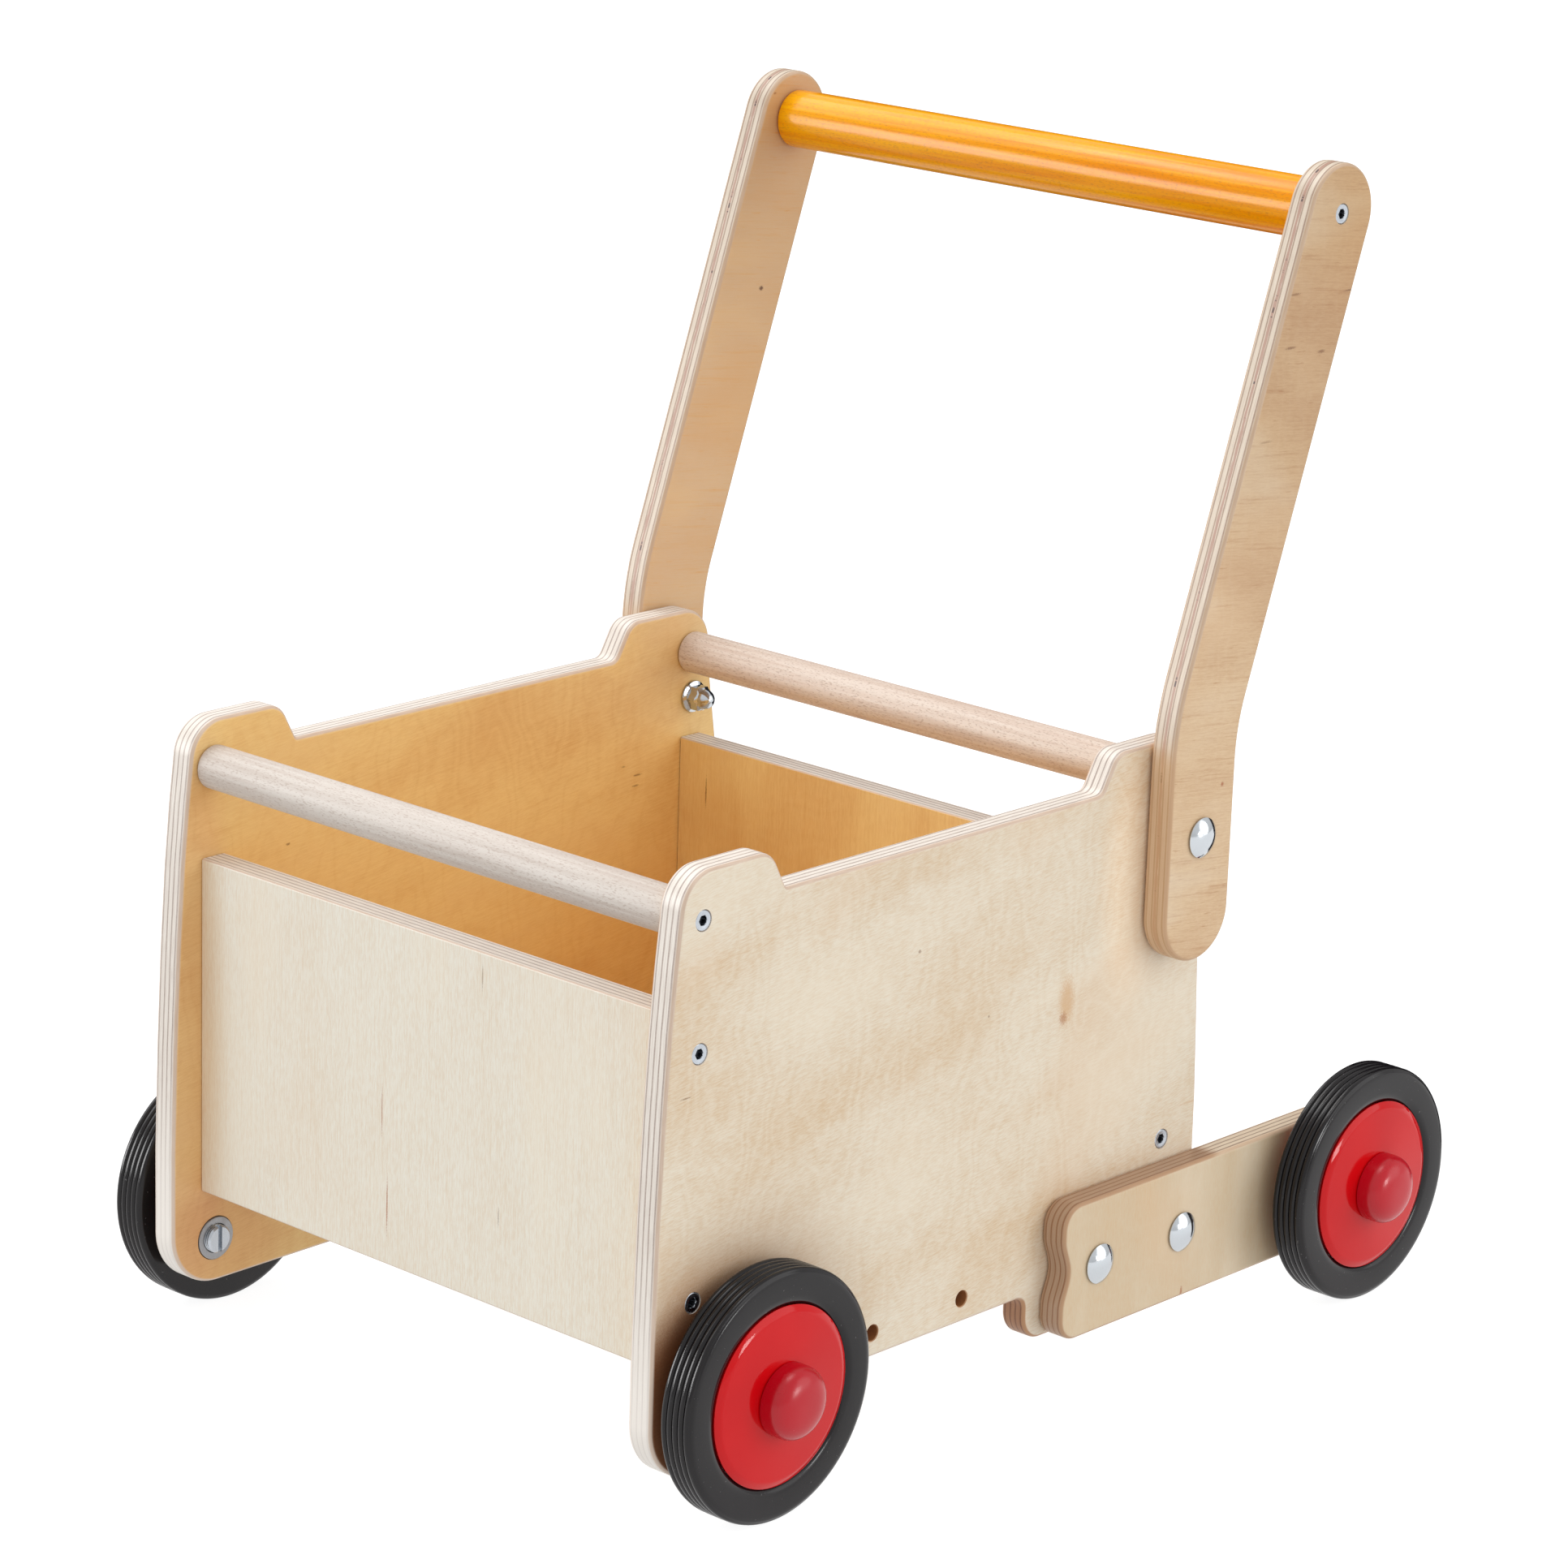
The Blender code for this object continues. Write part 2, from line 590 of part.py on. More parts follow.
for label, side in SIDES:
    panel = slab("side_panel_" + label, SIDE_OUTLINE, side * SIDE_IN, side * SIDE_OUT, BIRCH)
    arm = slab("handle_arm_" + label, handle_arm_outline(), side * HARM_IN, side * HARM_OUT, TAN_BIRCH)
    wheel_arm = slab("wheel_arm_" + label, wheel_arm_outline(), side * WARM_IN, side * WARM_OUT, TAN_BIRCH)

    # floor groove, axle, dowel and spare holes
    x = sorted((side * (SIDE_IN - 2.0), side * (SIDE_IN + GROOVE)))
    y = (FRONT_Y[1] - GROOVE - 0.1, BACK_Y[0] + GROOVE + 0.1)
    cut(panel, box("cutter_groove_" + label, x, y, groove_z))
    ends = (side * (SIDE_IN - 3.0), side * (SIDE_OUT + 3.0))
    hole(panel, "axle_" + label, FRONT_AXLE, *ends, 4.0 + GAP)
    hole(panel, "dowel_" + label, REAR_DOWEL, *ends, 6.0 + GAP)
    for i, spot in enumerate(SPARE_HOLES):
        hole(panel, f"spare_{i}_{label}", spot, *ends, 3.25)
    socket = (side * (HARM_IN - 3.0), side * (HARM_IN + 6.8))
    hole(arm, "spigot_" + label, REAR_DOWEL, *socket, 6.0 + GAP)
    arm_ends = (side * (WARM_IN - 3.0), side * (WARM_OUT + 3.0))
    hole(wheel_arm, "axle_rear_" + label, REAR_AXLE, *arm_ends, 4.0 + GAP)

    # carriage bolts and their cap nuts
    bolt_way(arm, panel, "handle_bolt_" + label, HANDLE_BOLT, HARM_OUT, side)
    carriage_bolt("handle_bolt_" + label, HANDLE_BOLT, HARM_OUT, side)
    cap_nut("handle_cap_nut_" + label, HANDLE_BOLT, side)
    for place, spot in zip(("front", "rear"), ARM_BOLTS):
        tag = f"arm_bolt_{place}_{label}"
        bolt_way(wheel_arm, panel, tag, spot, WARM_OUT, side)
        carriage_bolt(tag, spot, WARM_OUT, side)
        cap_nut(f"arm_cap_nut_{place}_{label}", spot, side)

    # wood screws
    wood_screw("bar_screw_" + label, BAR, HARM_OUT, side, 40.0)
    screw_way((arm, bar), "bar_screw_" + label, BAR, HARM_OUT, side, 40.0)
    wood_screw("dowel_screw_" + label, FRONT_DOWEL, SIDE_OUT, side, 35.0)
    screw_way((panel, front_dowel), "dowel_screw_" + label, FRONT_DOWEL, SIDE_OUT, side, 35.0)
    names = ("front_screw_upper_", "front_screw_lower_", "back_screw_upper_", "back_screw_lower_")
    for name, spot in zip(names, PANEL_SCREWS):
        wood_screw(name + label, spot, SIDE_OUT, side)
        screw_way((panel, front if spot[0] < 0 else back), name + label, spot, SIDE_OUT, side)

    # parking brake: threaded insert, slotted screw and sliding pad
    drill(
        panel,
        "brake_" + label,
        BRAKE,
        mirrored(
            (
                (SIDE_IN - 3.0, 9.0 + GAP),
                (SIDE_IN + 1.2, 9.0 + GAP),
                (SIDE_IN + 1.2, 7.6 + GAP),
                (SIDE_OUT - 1.0, 7.6 + GAP),
                (SIDE_OUT - 1.0, 5.6),
                (SIDE_OUT + 3.0, 5.6),
            ),
            side,
        ),
        20,
    )
    flange = [
        (SIDE_IN - 0.6, 8.4),
        (SIDE_IN - 0.1, 9.0),
        (SIDE_IN + 0.9, 9.0),
        (SIDE_IN + 0.9, 7.6),
        (SIDE_OUT - 1.4, 7.6),
    ]
    inside = [(SIDE_IN - 0.6, 6.3), (SIDE_OUT - 1.4, 6.3)]
    turned("brake_insert_" + label, BRAKE, mirrored(flange, side), 20, STEEL, bore=mirrored(inside, side))
    start, stop = SIDE_IN - 2.9, SIDE_IN + 5.0
    body = [(start, 5.3), (start + 0.6, 5.9)]
    for k in range(2):
        x = start + 1.2 + 1.75 * k
        body += [(x, 5.9), (x + 0.55, 5.25), (x + 1.1, 5.9)]
    body += [(stop - 0.6, 5.9), (stop, 5.3)]
    screw = turned("brake_screw_" + label, BRAKE, mirrored(body, side), 16, STEEL)
    x = sorted((side * (start - 1.0), side * (start + 1.9)))
    slot = box(
        "cutter_slot_" + label,
        x,
        (BRAKE[0] - 1.0, BRAKE[0] + 1.0),
        (BRAKE[1] - 8.0, BRAKE[1] + 8.0),
    )
    cut(screw, slot)
    set_origin(screw, side * SIDE_IN, *BRAKE)
    button = [(stop + 0.3, 4.6), (stop + 0.7, 5.0), (SIDE_OUT + 0.8, 5.0), (SIDE_OUT + 1.3, 4.5)]
    pad = turned("brake_pad_" + label, BRAKE, mirrored(button, side), 20, RUBBER)
    set_origin(pad, side * SIDE_OUT, *BRAKE)

    # wheels on their pins
    for place, axle, plate_in, plate_out, inner in (
        ("front", FRONT_AXLE, SIDE_IN, SIDE_OUT, TYRE_IN_F),
        ("rear", REAR_AXLE, WARM_IN, WARM_OUT, TYRE_IN_F + TRACK_STEP),
    ):
        tag = f"{place}_{label}"
        tyre, disc, cap, out = wheel(tag, axle, inner, side)
        axle_pin(tag, axle, plate_in, plate_out, inner, out, side)
        for piece in (tyre, disc, cap):
            set_origin(piece, side * (inner + TYRE_W / 2.0), *axle)
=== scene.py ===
"""Looks of the push-along truck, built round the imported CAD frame.

Lengths are millimetres until a mesh is made. Side-view drawings are (y, z) pairs measured from the
front wheel's axle line, which Y_SHIFT carries to the frame; places of bolts, screws and wheels are
read from the frame itself.
"""

import json
import math

import bmesh
import bpy
from mathutils import Matrix, Vector

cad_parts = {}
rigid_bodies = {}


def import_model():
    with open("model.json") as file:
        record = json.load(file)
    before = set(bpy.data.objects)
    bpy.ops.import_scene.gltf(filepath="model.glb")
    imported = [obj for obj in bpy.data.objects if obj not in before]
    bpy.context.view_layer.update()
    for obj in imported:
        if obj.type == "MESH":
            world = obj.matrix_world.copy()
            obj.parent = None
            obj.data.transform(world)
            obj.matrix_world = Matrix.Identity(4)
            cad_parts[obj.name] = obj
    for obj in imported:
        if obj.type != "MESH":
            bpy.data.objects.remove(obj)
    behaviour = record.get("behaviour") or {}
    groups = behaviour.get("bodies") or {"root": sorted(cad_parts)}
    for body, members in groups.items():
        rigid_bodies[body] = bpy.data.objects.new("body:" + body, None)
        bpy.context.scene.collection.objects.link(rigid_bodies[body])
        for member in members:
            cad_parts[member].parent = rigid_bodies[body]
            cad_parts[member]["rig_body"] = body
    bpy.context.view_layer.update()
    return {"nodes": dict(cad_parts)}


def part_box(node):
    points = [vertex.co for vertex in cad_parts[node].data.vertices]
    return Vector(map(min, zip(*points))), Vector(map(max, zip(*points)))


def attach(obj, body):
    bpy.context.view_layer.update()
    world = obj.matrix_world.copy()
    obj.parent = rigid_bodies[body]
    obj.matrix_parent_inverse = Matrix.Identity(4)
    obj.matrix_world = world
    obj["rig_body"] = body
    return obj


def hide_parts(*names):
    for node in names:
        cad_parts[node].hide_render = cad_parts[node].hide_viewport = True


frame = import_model()

MM = 0.001
Y_SHIFT = -174.0
AXLE_Z = 50.0
PLY = 12.0
# inner and outer faces of the side panels, the handle arms and the wheel arms, from the middle plane
SIDE_IN, HARM_IN, WARM_IN = 127.5, 140.5, 139.8
SIDE_OUT, HARM_OUT, WARM_OUT = SIDE_IN + PLY, HARM_IN + PLY, WARM_IN + PLY
# the front board's outer face, and the back board's face towards the box
FRONT_FACE, BACK_FACE = -206.9, 65.2
SIDES = (("right", 1.0), ("left", -1.0))

SPARE_HOLES = ((-99.7, 48.7), (-47.5, 48.7))
# radii of the holes for a moved wheel arm, bolts, axle pins, dowel spigots and screws
SPARE_R, BOLT_R, AXLE_R, SPIGOT_R, PILOT_R = 3.25, 3.2, 4.3, 6.3, 2.4
TONGUE_Z = (66.7, 72.3)
GROOVE = 4.0

FRONT_SCREWS = ("front_screw_upper_", "front_screw_lower_")
BACK_SCREWS = ("back_screw_upper_", "back_screw_lower_")
SIDE_SCREWS = ("dowel_screw_", *FRONT_SCREWS, *BACK_SCREWS)
ARM_BOLTS = ("arm_bolt_front_", "arm_bolt_rear_")
BOLTS = ("handle_bolt_", *ARM_BOLTS)


# --- places read from the frame -----------------------------------------------------------------
def span(node, axis):
    """Lowest and highest millimetre of a CAD node along an axis."""
    low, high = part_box(node)
    return low[axis] / MM, high[axis] / MM


def centre(node):
    """(y, z) middle of a CAD node."""
    return tuple(sum(span(node, axis)) / 2.0 for axis in (1, 2))


def from_middle(node):
    """Nearest and furthest x of a CAD node from the middle plane."""
    return sorted(abs(x) for x in span(node, 0))


# --- mesh helpers -------------------------------------------------------------------------------
def raise_mesh(name, verts, faces, material=None, sharp=32.0):
    """An object from millimetre vertices, faces outwards, smooth but for edges over the sharp angle."""
    bm = bmesh.new()
    made = [bm.verts.new(Vector(v) * MM) for v in verts]
    for face in faces:
        bm.faces.new([made[i] for i in face])
    bmesh.ops.recalc_face_normals(bm, faces=bm.faces)
    if bm.calc_volume(signed=True) < 0:
        bmesh.ops.reverse_faces(bm, faces=bm.faces)
    mesh = bpy.data.meshes.new(name)
    bm.to_mesh(mesh)
    bm.free()
    obj = bpy.data.objects.new(name, mesh)
    bpy.context.scene.collection.objects.link(obj)
    if material:
        mesh.materials.append(material)
    mesh.shade_smooth()
    mesh.set_sharp_from_angle(angle=math.radians(sharp))
    return obj


def loft(rings, closed=False):
    """Vertices and faces of a skin over rings of equal count; a ring of one point closes an end."""
    verts, faces, ids = [], [], []
    for ring in rings:
        ids.append(list(range(len(verts), len(verts) + len(ring))))
        verts += ring
    pairs = list(zip(ids, ids[1:]))
    if closed:
        pairs.append((ids[-1], ids[0]))
    for a, b in pairs:
        n = max(len(a), len(b))
        for k in range(n):
            j = (k + 1) % n
            if len(a) == 1:
                faces.append([a[0], b[k], b[j]])
            elif len(b) == 1:
                faces.append([a[k], a[j], b[0]])
            else:
                faces.append([a[k], a[j], b[j], b[k]])
    if not closed:
        faces += [ring for ring in (ids[0], ids[-1]) if len(ring) > 1]
    return verts, faces


def arc(turn, steps):
    """Angles from 0 to turn in even steps."""
    return [turn * k / steps for k in range(steps + 1)]


QUARTER = math.pi / 2.0


def round_reach(angle):
    """Radius of a circle of radius 1 at any angle."""
    return 1.0


def hexagon_reach(angle):
    """Radius of a hexagon with apothem 1 at an angle."""
    sixth = math.pi / 3.0
    return 1.0 / math.cos((angle % sixth) - sixth / 2.0)


def square_reach(angle):
    """Radius of a square with apothem 1 at an angle."""
    return 1.0 / max(abs(math.cos(angle)), abs(math.sin(angle)))


def turned(name, at, profile, segments, material=None, bore=None, sharp=32.0):
    """A body about an X axis through (y, z): profile rows are (x, radius[, reach])."""
    rings = []
    rows = list(profile) + (list(reversed(bore)) if bore else [])
    for x, radius, *reach in rows:
        if radius <= 0.0:
            rings.append([(x, *at)])
            continue
        shape = reach[0] if reach else round_reach
        ring = []
        for k in range(segments):
            a = 2.0 * math.pi * k / segments
            r = radius * shape(a)
            ring.append((x, at[0] + r * math.cos(a), at[1] + r * math.sin(a)))
        rings.append(ring)
    return raise_mesh(name, *loft(rings, closed=bool(bore)), material, sharp)


def facing(profile, side):
    """A profile written for the +X side, carried to side."""
    return [(side * row[0], *row[1:]) for row in profile]


def fillet(a, b, c, radius, steps=5):
    """Points of an arc that rounds the corner b between a and c, in a profile."""
    a, b, c = Vector(a), Vector(b), Vector(c)
    to_a, to_c = (a - b).normalized(), (c - b).normalized()
    half = to_a.angle(to_c) / 2.0
    middle = b + (to_a + to_c).normalized() * (radius / math.sin(half))
    start = b + to_a * (radius / math.tan(half)) - middle
    end = b + to_c * (radius / math.tan(half)) - middle
    out = []
    for t in arc(math.atan2(start.x * end.y - start.y * end.x, start.dot(end)), steps):
        cos, sin = math.cos(t), math.sin(t)
        out.append((middle.x + start.x * cos - start.y * sin, middle.y + start.x * sin + start.y * cos))
    return out


def soften(rows, radii, steps=5):
    """An open profile with rounded corners: radii maps a row's index to its radius."""
    out = []
    for i, row in enumerate(rows):
        if i in radii:
            out += fillet(rows[i - 1][:2], row[:2], rows[i + 1][:2], radii[i], steps)
        else:
            out.append(row)
    return out


def rounded(corners, step=5.0):
    """A closed outline from (y, z, radius) corners, in frame millimetres."""
    out, count = [], len(corners)
    for i, (y, z, r) in enumerate(corners):
        if not r:
            out.append((y, z))
            continue
        a, b = corners[i - 1], corners[(i + 1) % count]
        turn = math.pi - (Vector(a[:2]) - Vector((y, z))).angle(Vector(b[:2]) - Vector((y, z)))
        steps = max(3, int(round(math.degrees(turn) / step)))
        out += fillet(a[:2], (y, z), b[:2], r, steps)
    return out


def shifted(outline):
    """A side-view drawing carried to the frame."""
    return [(y + Y_SHIFT, z) for y, z in outline]


def inset(outline, d):
    """The outline moved inwards by d, vertex for vertex."""
    n = len(outline)
    area = sum(outline[i - 1][0] * outline[i][1] - outline[i][0] * outline[i - 1][1] for i in range(n))
    side = 1.0 if area > 0 else -1.0
    out = []
    for i, p in enumerate(outline):
        here = Vector(p)
        a = (here - Vector(outline[i - 1])).normalized()
        b = (Vector(outline[(i + 1) % n]) - here).normalized()
        na, nb = Vector((-a.y, a.x)) * side, Vector((-b.y, b.x)) * side
        m = (na + nb).normalized()
        out.append(tuple(here + m * (d / max(0.5, m.dot(na)))))
    return out


def slab(name, outline, x0, x1, radius, steps=5):
    """A board: the (y, z) outline from x0 to x1 with its long arrises rounded."""
    low, high = min(x0, x1), max(x0, x1)
    quarter = arc(QUARTER, steps)
    rows = [(low + radius * (1.0 - math.cos(q)), radius * (1.0 - math.sin(q))) for q in quarter]
    rows += [(high - radius * (1.0 - math.cos(q)), radius * (1.0 - math.sin(q))) for q in quarter[::-1]]
    rings = [[(x, y, z) for y, z in inset(outline, d)] for x, d in rows]
    return raise_mesh(name, *loft(rings))


def block(x, y, z):
    """A cutter box from its three ranges."""
    verts = [(a, b, c) for a in x for b in y for c in z]
    faces = [[0, 1, 3, 2], [4, 5, 7, 6], [0, 1, 5, 4], [2, 3, 7, 6], [0, 2, 6, 4], [1, 3, 7, 5]]
    return raise_mesh("cutter", verts, faces)


def settled(obj, material, cutters=(), sharp=32.0):
    """Cuts the cutters out of obj, gives it even normals and leaves it a plain mesh."""
    if cutters:
        bm = bmesh.new()
        for cutter in cutters:
            bm.from_mesh(cutter.data)
        tool = bpy.data.meshes.new("tool")
        bm.to_mesh(tool)
        bm.free()
        whole = bpy.data.objects.new("tool", tool)
        bpy.context.scene.collection.objects.link(whole)
        cut = obj.modifiers.new("cut", "BOOLEAN")
        cut.operation = "DIFFERENCE"
        cut.solver = "EXACT"
        cut.object = whole
        bake_modifiers(obj)
        for used in (*cutters, whole):
            bpy.data.objects.remove(used)
    obj.data.shade_smooth()
    obj.data.set_sharp_from_angle(angle=math.radians(sharp))
    even = obj.modifiers.new("even", "WEIGHTED_NORMAL")
    even.keep_sharp = True
    bake_modifiers(obj)
    obj.data.materials.clear()
    obj.data.materials.append(material)
    return obj


def bake_modifiers(obj):
    """obj keeps the result of its modifiers as its mesh."""
    graph = bpy.context.evaluated_depsgraph_get()
    mesh = bpy.data.meshes.new_from_object(
        obj.evaluated_get(graph), preserve_all_data_layers=True, depsgraph=graph
    )
    obj.modifiers.clear()
    obj.data = mesh


def stand_in(obj, node):
    """obj is shown in place of the CAD node and moves with its body."""
    obj.name = node + ".fine"
    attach(obj, frame["nodes"][node]["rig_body"])
    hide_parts(node)


def dress(node, material):
    """A CAD node that stays in view gets its material."""
    slots = frame["nodes"][node].data.materials
    slots.clear()
    slots.append(material)


# --- material helpers ---------------------------------------------------------------------------
class Graph:
    """One Principled material and the node calls that its pattern needs."""

    def __init__(self, name, **sockets):
        self.material = bpy.data.materials.new(name)
        self.material.use_nodes = True
        self.tree = self.material.node_tree
        self.shader = self.tree.nodes["Principled BSDF"]
        for key, value in sockets.items():
            self.shader.inputs[key.replace("_", " ")].default_value = value

    def add(self, kind, *values, out=0, **settings):
        node = self.tree.nodes.new("ShaderNode" + kind)
        for key, value in settings.items():
            setattr(node, key, value)
        for socket, value in zip(node.inputs, values):
            if value is not None:
                self.put(value, socket)
        return node.outputs[out]

    def put(self, value, socket):
        if isinstance(value, bpy.types.NodeSocket):
            self.tree.links.new(value, socket)
        else:
            socket.default_value = value

    def math(self, operation, *values):
        return self.add("Math", *values, operation=operation)

    def smooth(self, value, start, stop, low=0.0, high=1.0):
        return self.add("MapRange", value, start, stop, low, high, interpolation_type="SMOOTHSTEP")

    def band(self, value, ramps, high=1.0):
        """A strip that rises over the first pair of ramps and falls over the second."""
        rise, risen, fall, fallen = ramps
        fade = self.smooth(value, fall, fallen, high, 0.0)
        return self.math("MULTIPLY", self.smooth(value, rise, risen), fade)

    def noise(self, vector, scale=1.0, detail=2.0, rough=0.5):
        return self.add("TexNoise", vector, None, scale, detail, rough, noise_dimensions="3D")

    def mix(self, factor, a, b, blend="MIX"):
        node = self.tree.nodes.new("ShaderNodeMix")
        node.data_type = "RGBA"
        node.blend_type = blend
        for index, value in ((0, factor), (6, a), (7, b)):
            self.put(value, node.inputs[index])
        return node.outputs[2]

    def split(self, vector):
        node = self.tree.nodes.new("ShaderNodeSeparateXYZ")
        self.put(vector, node.inputs[0])
        return node.outputs[:3]

    def place(self):
        """Object coordinates in millimetres and the object's own normal."""
        source = self.tree.nodes.new("ShaderNodeTexCoord")
        point = self.add("VectorMath", source.outputs["Object"], operation="SCALE")
        point.node.inputs["Scale"].default_value = 1.0 / MM
        return point, source.outputs["Normal"]

    def stretch(self, point, scale, shift=(0.0, 0.0, 0.0)):
        """The point scaled along each axis and shifted, for stretched noise."""
        return self.add("VectorMath", point, scale, shift, operation="MULTIPLY_ADD")

    def bump(self, height, strength, distance):
        node = self.tree.nodes.new("ShaderNodeBump")
        node.inputs["Strength"].default_value = strength
        node.inputs["Distance"].default_value = distance * MM
        self.put(height, node.inputs["Height"])
        self.tree.links.new(node.outputs["Normal"], self.shader.inputs["Normal"])

    def colour(self, value):
        self.put(value, self.shader.inputs["Base Color"])

    def roughness(self, value):
        self.put(value, self.shader.inputs["Roughness"])


def rgb(red, green, blue):
    """A linear colour from sRGB values of 0 to 255."""
    out = []
    for value in (red, green, blue):
        v = value / 255.0
        out.append(v / 12.92 if v <= 0.04045 else ((v + 0.055) / 1.055) ** 2.4)
    return (*out, 1.0)


# --- plywood ------------------------------------------------------------------------------------
WHITE = (1.0, 1.0, 1.0, 1.0)

# layers of an edge by millimetres from the board's inner face: the thickness of a light and dark
# pair, and for each band where it starts, is full, starts to fade and is gone
PERIOD = 2.65
DARK_LAYER = (1.68, 1.90, 2.36, 2.60)
CORE_LAYER = (5.4, 5.7, 6.7, 7.0)
VOID_LAYER = (5.6, 5.8, 6.4, 6.6)
WANDER, TORN = 0.16, 2.4  # how far the layers and the core's torn sides wander
# painted shade: the brown walls of open holes
BORE_RING = (3.4, 4.3)  # radii over which a bore's brown wall passes into the edge's colour
# painted light: the front edges paler low down, against the shade of the wheels
FRONT_EDGES = (-200.0, -185.0)  # y range over which the lift of the front edges ends

# how squarely the surface faces out of the board, where an edge becomes an arris and then a face
FACE_TURN = (0.84, 0.985)
ARRIS_TURN = (0.15, 0.55, 0.90, 0.99)

LIGHT_PLY, LIGHT_PLY_2 = rgb(222, 211, 200), rgb(240, 232, 222)
DARK_PLY, DARK_PLY_2 = rgb(164, 146, 136), rgb(192, 177, 166)
CORE_RED, VOID_BROWN = rgb(166, 118, 98), rgb(66, 44, 38)
BURNT = rgb(196, 150, 108)
# brown of the painted shade on edges
PAINTED_SHADE_BROWN = rgb(182, 126, 80)
# pale of the painted light on the low front edges
PAINTED_LIGHT_EDGE = rgb(252, 246, 238)
# brown of the painted shade in the walls of open holes
BORE_PAINTED_SHADE = rgb(158, 104, 62)

VENEER_DEPTH = 0.35  # scale of the veneer's noise through the board
RINGS = 52.0  # growth ring contours in one range of their noise
DEEP_INSIDE, AGED_OUTSIDE = rgb(214, 160, 94), rgb(214, 180, 136)
CLOUD_OUTSIDE, RING_OUTSIDE = rgb(228, 192, 152), rgb(244, 232, 212)
PALE_INSIDE, PALE_OUTSIDE = rgb(234, 196, 138), rgb(242, 230, 208)

MARK_DEPTH = 3.0  # reach of a mark into the board
BROAD = 20.0  # a mark that reaches further than this up the board shades it, a smaller one covers it


class Ply(Graph):
    """The graph of one board: deep is the depth through it from the inner face, out is 1 on the outer
    face, -1 on the inner face and 0 on the edges, and fibres gives noise along the veneer."""

    def __init__(self, name, across, start, grain, seed, tilt):
        super().__init__(name, Roughness=0.42, Specular_IOR_Level=0.35)
        self.seed = seed
        self.point, normal = self.place()
        self.at, normal = self.split(self.point), self.split(normal)
        self.axis, self.long_axis = "xyz".index(across[-1]), "xyz".index(grain)
        self.wide_axis = 3 - self.axis - self.long_axis
        if across == "x":
            distance, sign = self.math("ABSOLUTE", self.at[0]), self.math("SIGN", self.at[0])
        else:
            sign = -1.0 if across[0] == "-" else 1.0
            distance = self.math("MULTIPLY", self.at[self.axis], sign)
        self.deep = self.math("SUBTRACT", distance, start)
        self.out = self.math("MULTIPLY", normal[self.axis], sign)

        self.leaning = self.point
        if tilt:
            slope = [0.0, 0.0, 0.0]
            slope[self.wide_axis] = tilt
            lean = self.add("VectorMath", slope, None, operation="SCALE")
            self.put(self.at[self.long_axis], lean.node.inputs["Scale"])
            self.leaning = self.add("VectorMath", self.point, lean, operation="ADD")

        thin = [0.10, 0.10, 0.10]
        thin[self.axis] = 3.2
        thinned = self.stretch(self.point, tuple(thin), (seed, 0.0, 5.0))
        self.streak = self.noise(thinned, detail=3.0, rough=0.6)
        self.cells = self.noise(self.point, 1.6, 2.0)

    def fibres(self, along, over, shift, detail, rough=0.5):
        """Noise in the veneer, with its scale along the fibres and over them."""
        scale = [0.0, 0.0, 0.0]
        scale[self.long_axis], scale[self.wide_axis], scale[self.axis] = along, over, VENEER_DEPTH
        moved = self.stretch(self.leaning, tuple(scale), (self.seed + shift, self.seed * 0.7, shift))
        return self.noise(moved, detail=detail, rough=rough)

    def away(self, y, z, reach_y=1.0, reach_z=1.0):
        """Distance from (y, z) in the side view, in reaches."""
        over = self.math("DIVIDE", self.math("SUBTRACT", self.at[1], y), reach_y)
        up = self.math("DIVIDE", self.math("SUBTRACT", self.at[2], z), reach_z)
        return self.add("VectorMath", self.add("CombineXYZ", 0.0, over, up), operation="LENGTH", out=1)


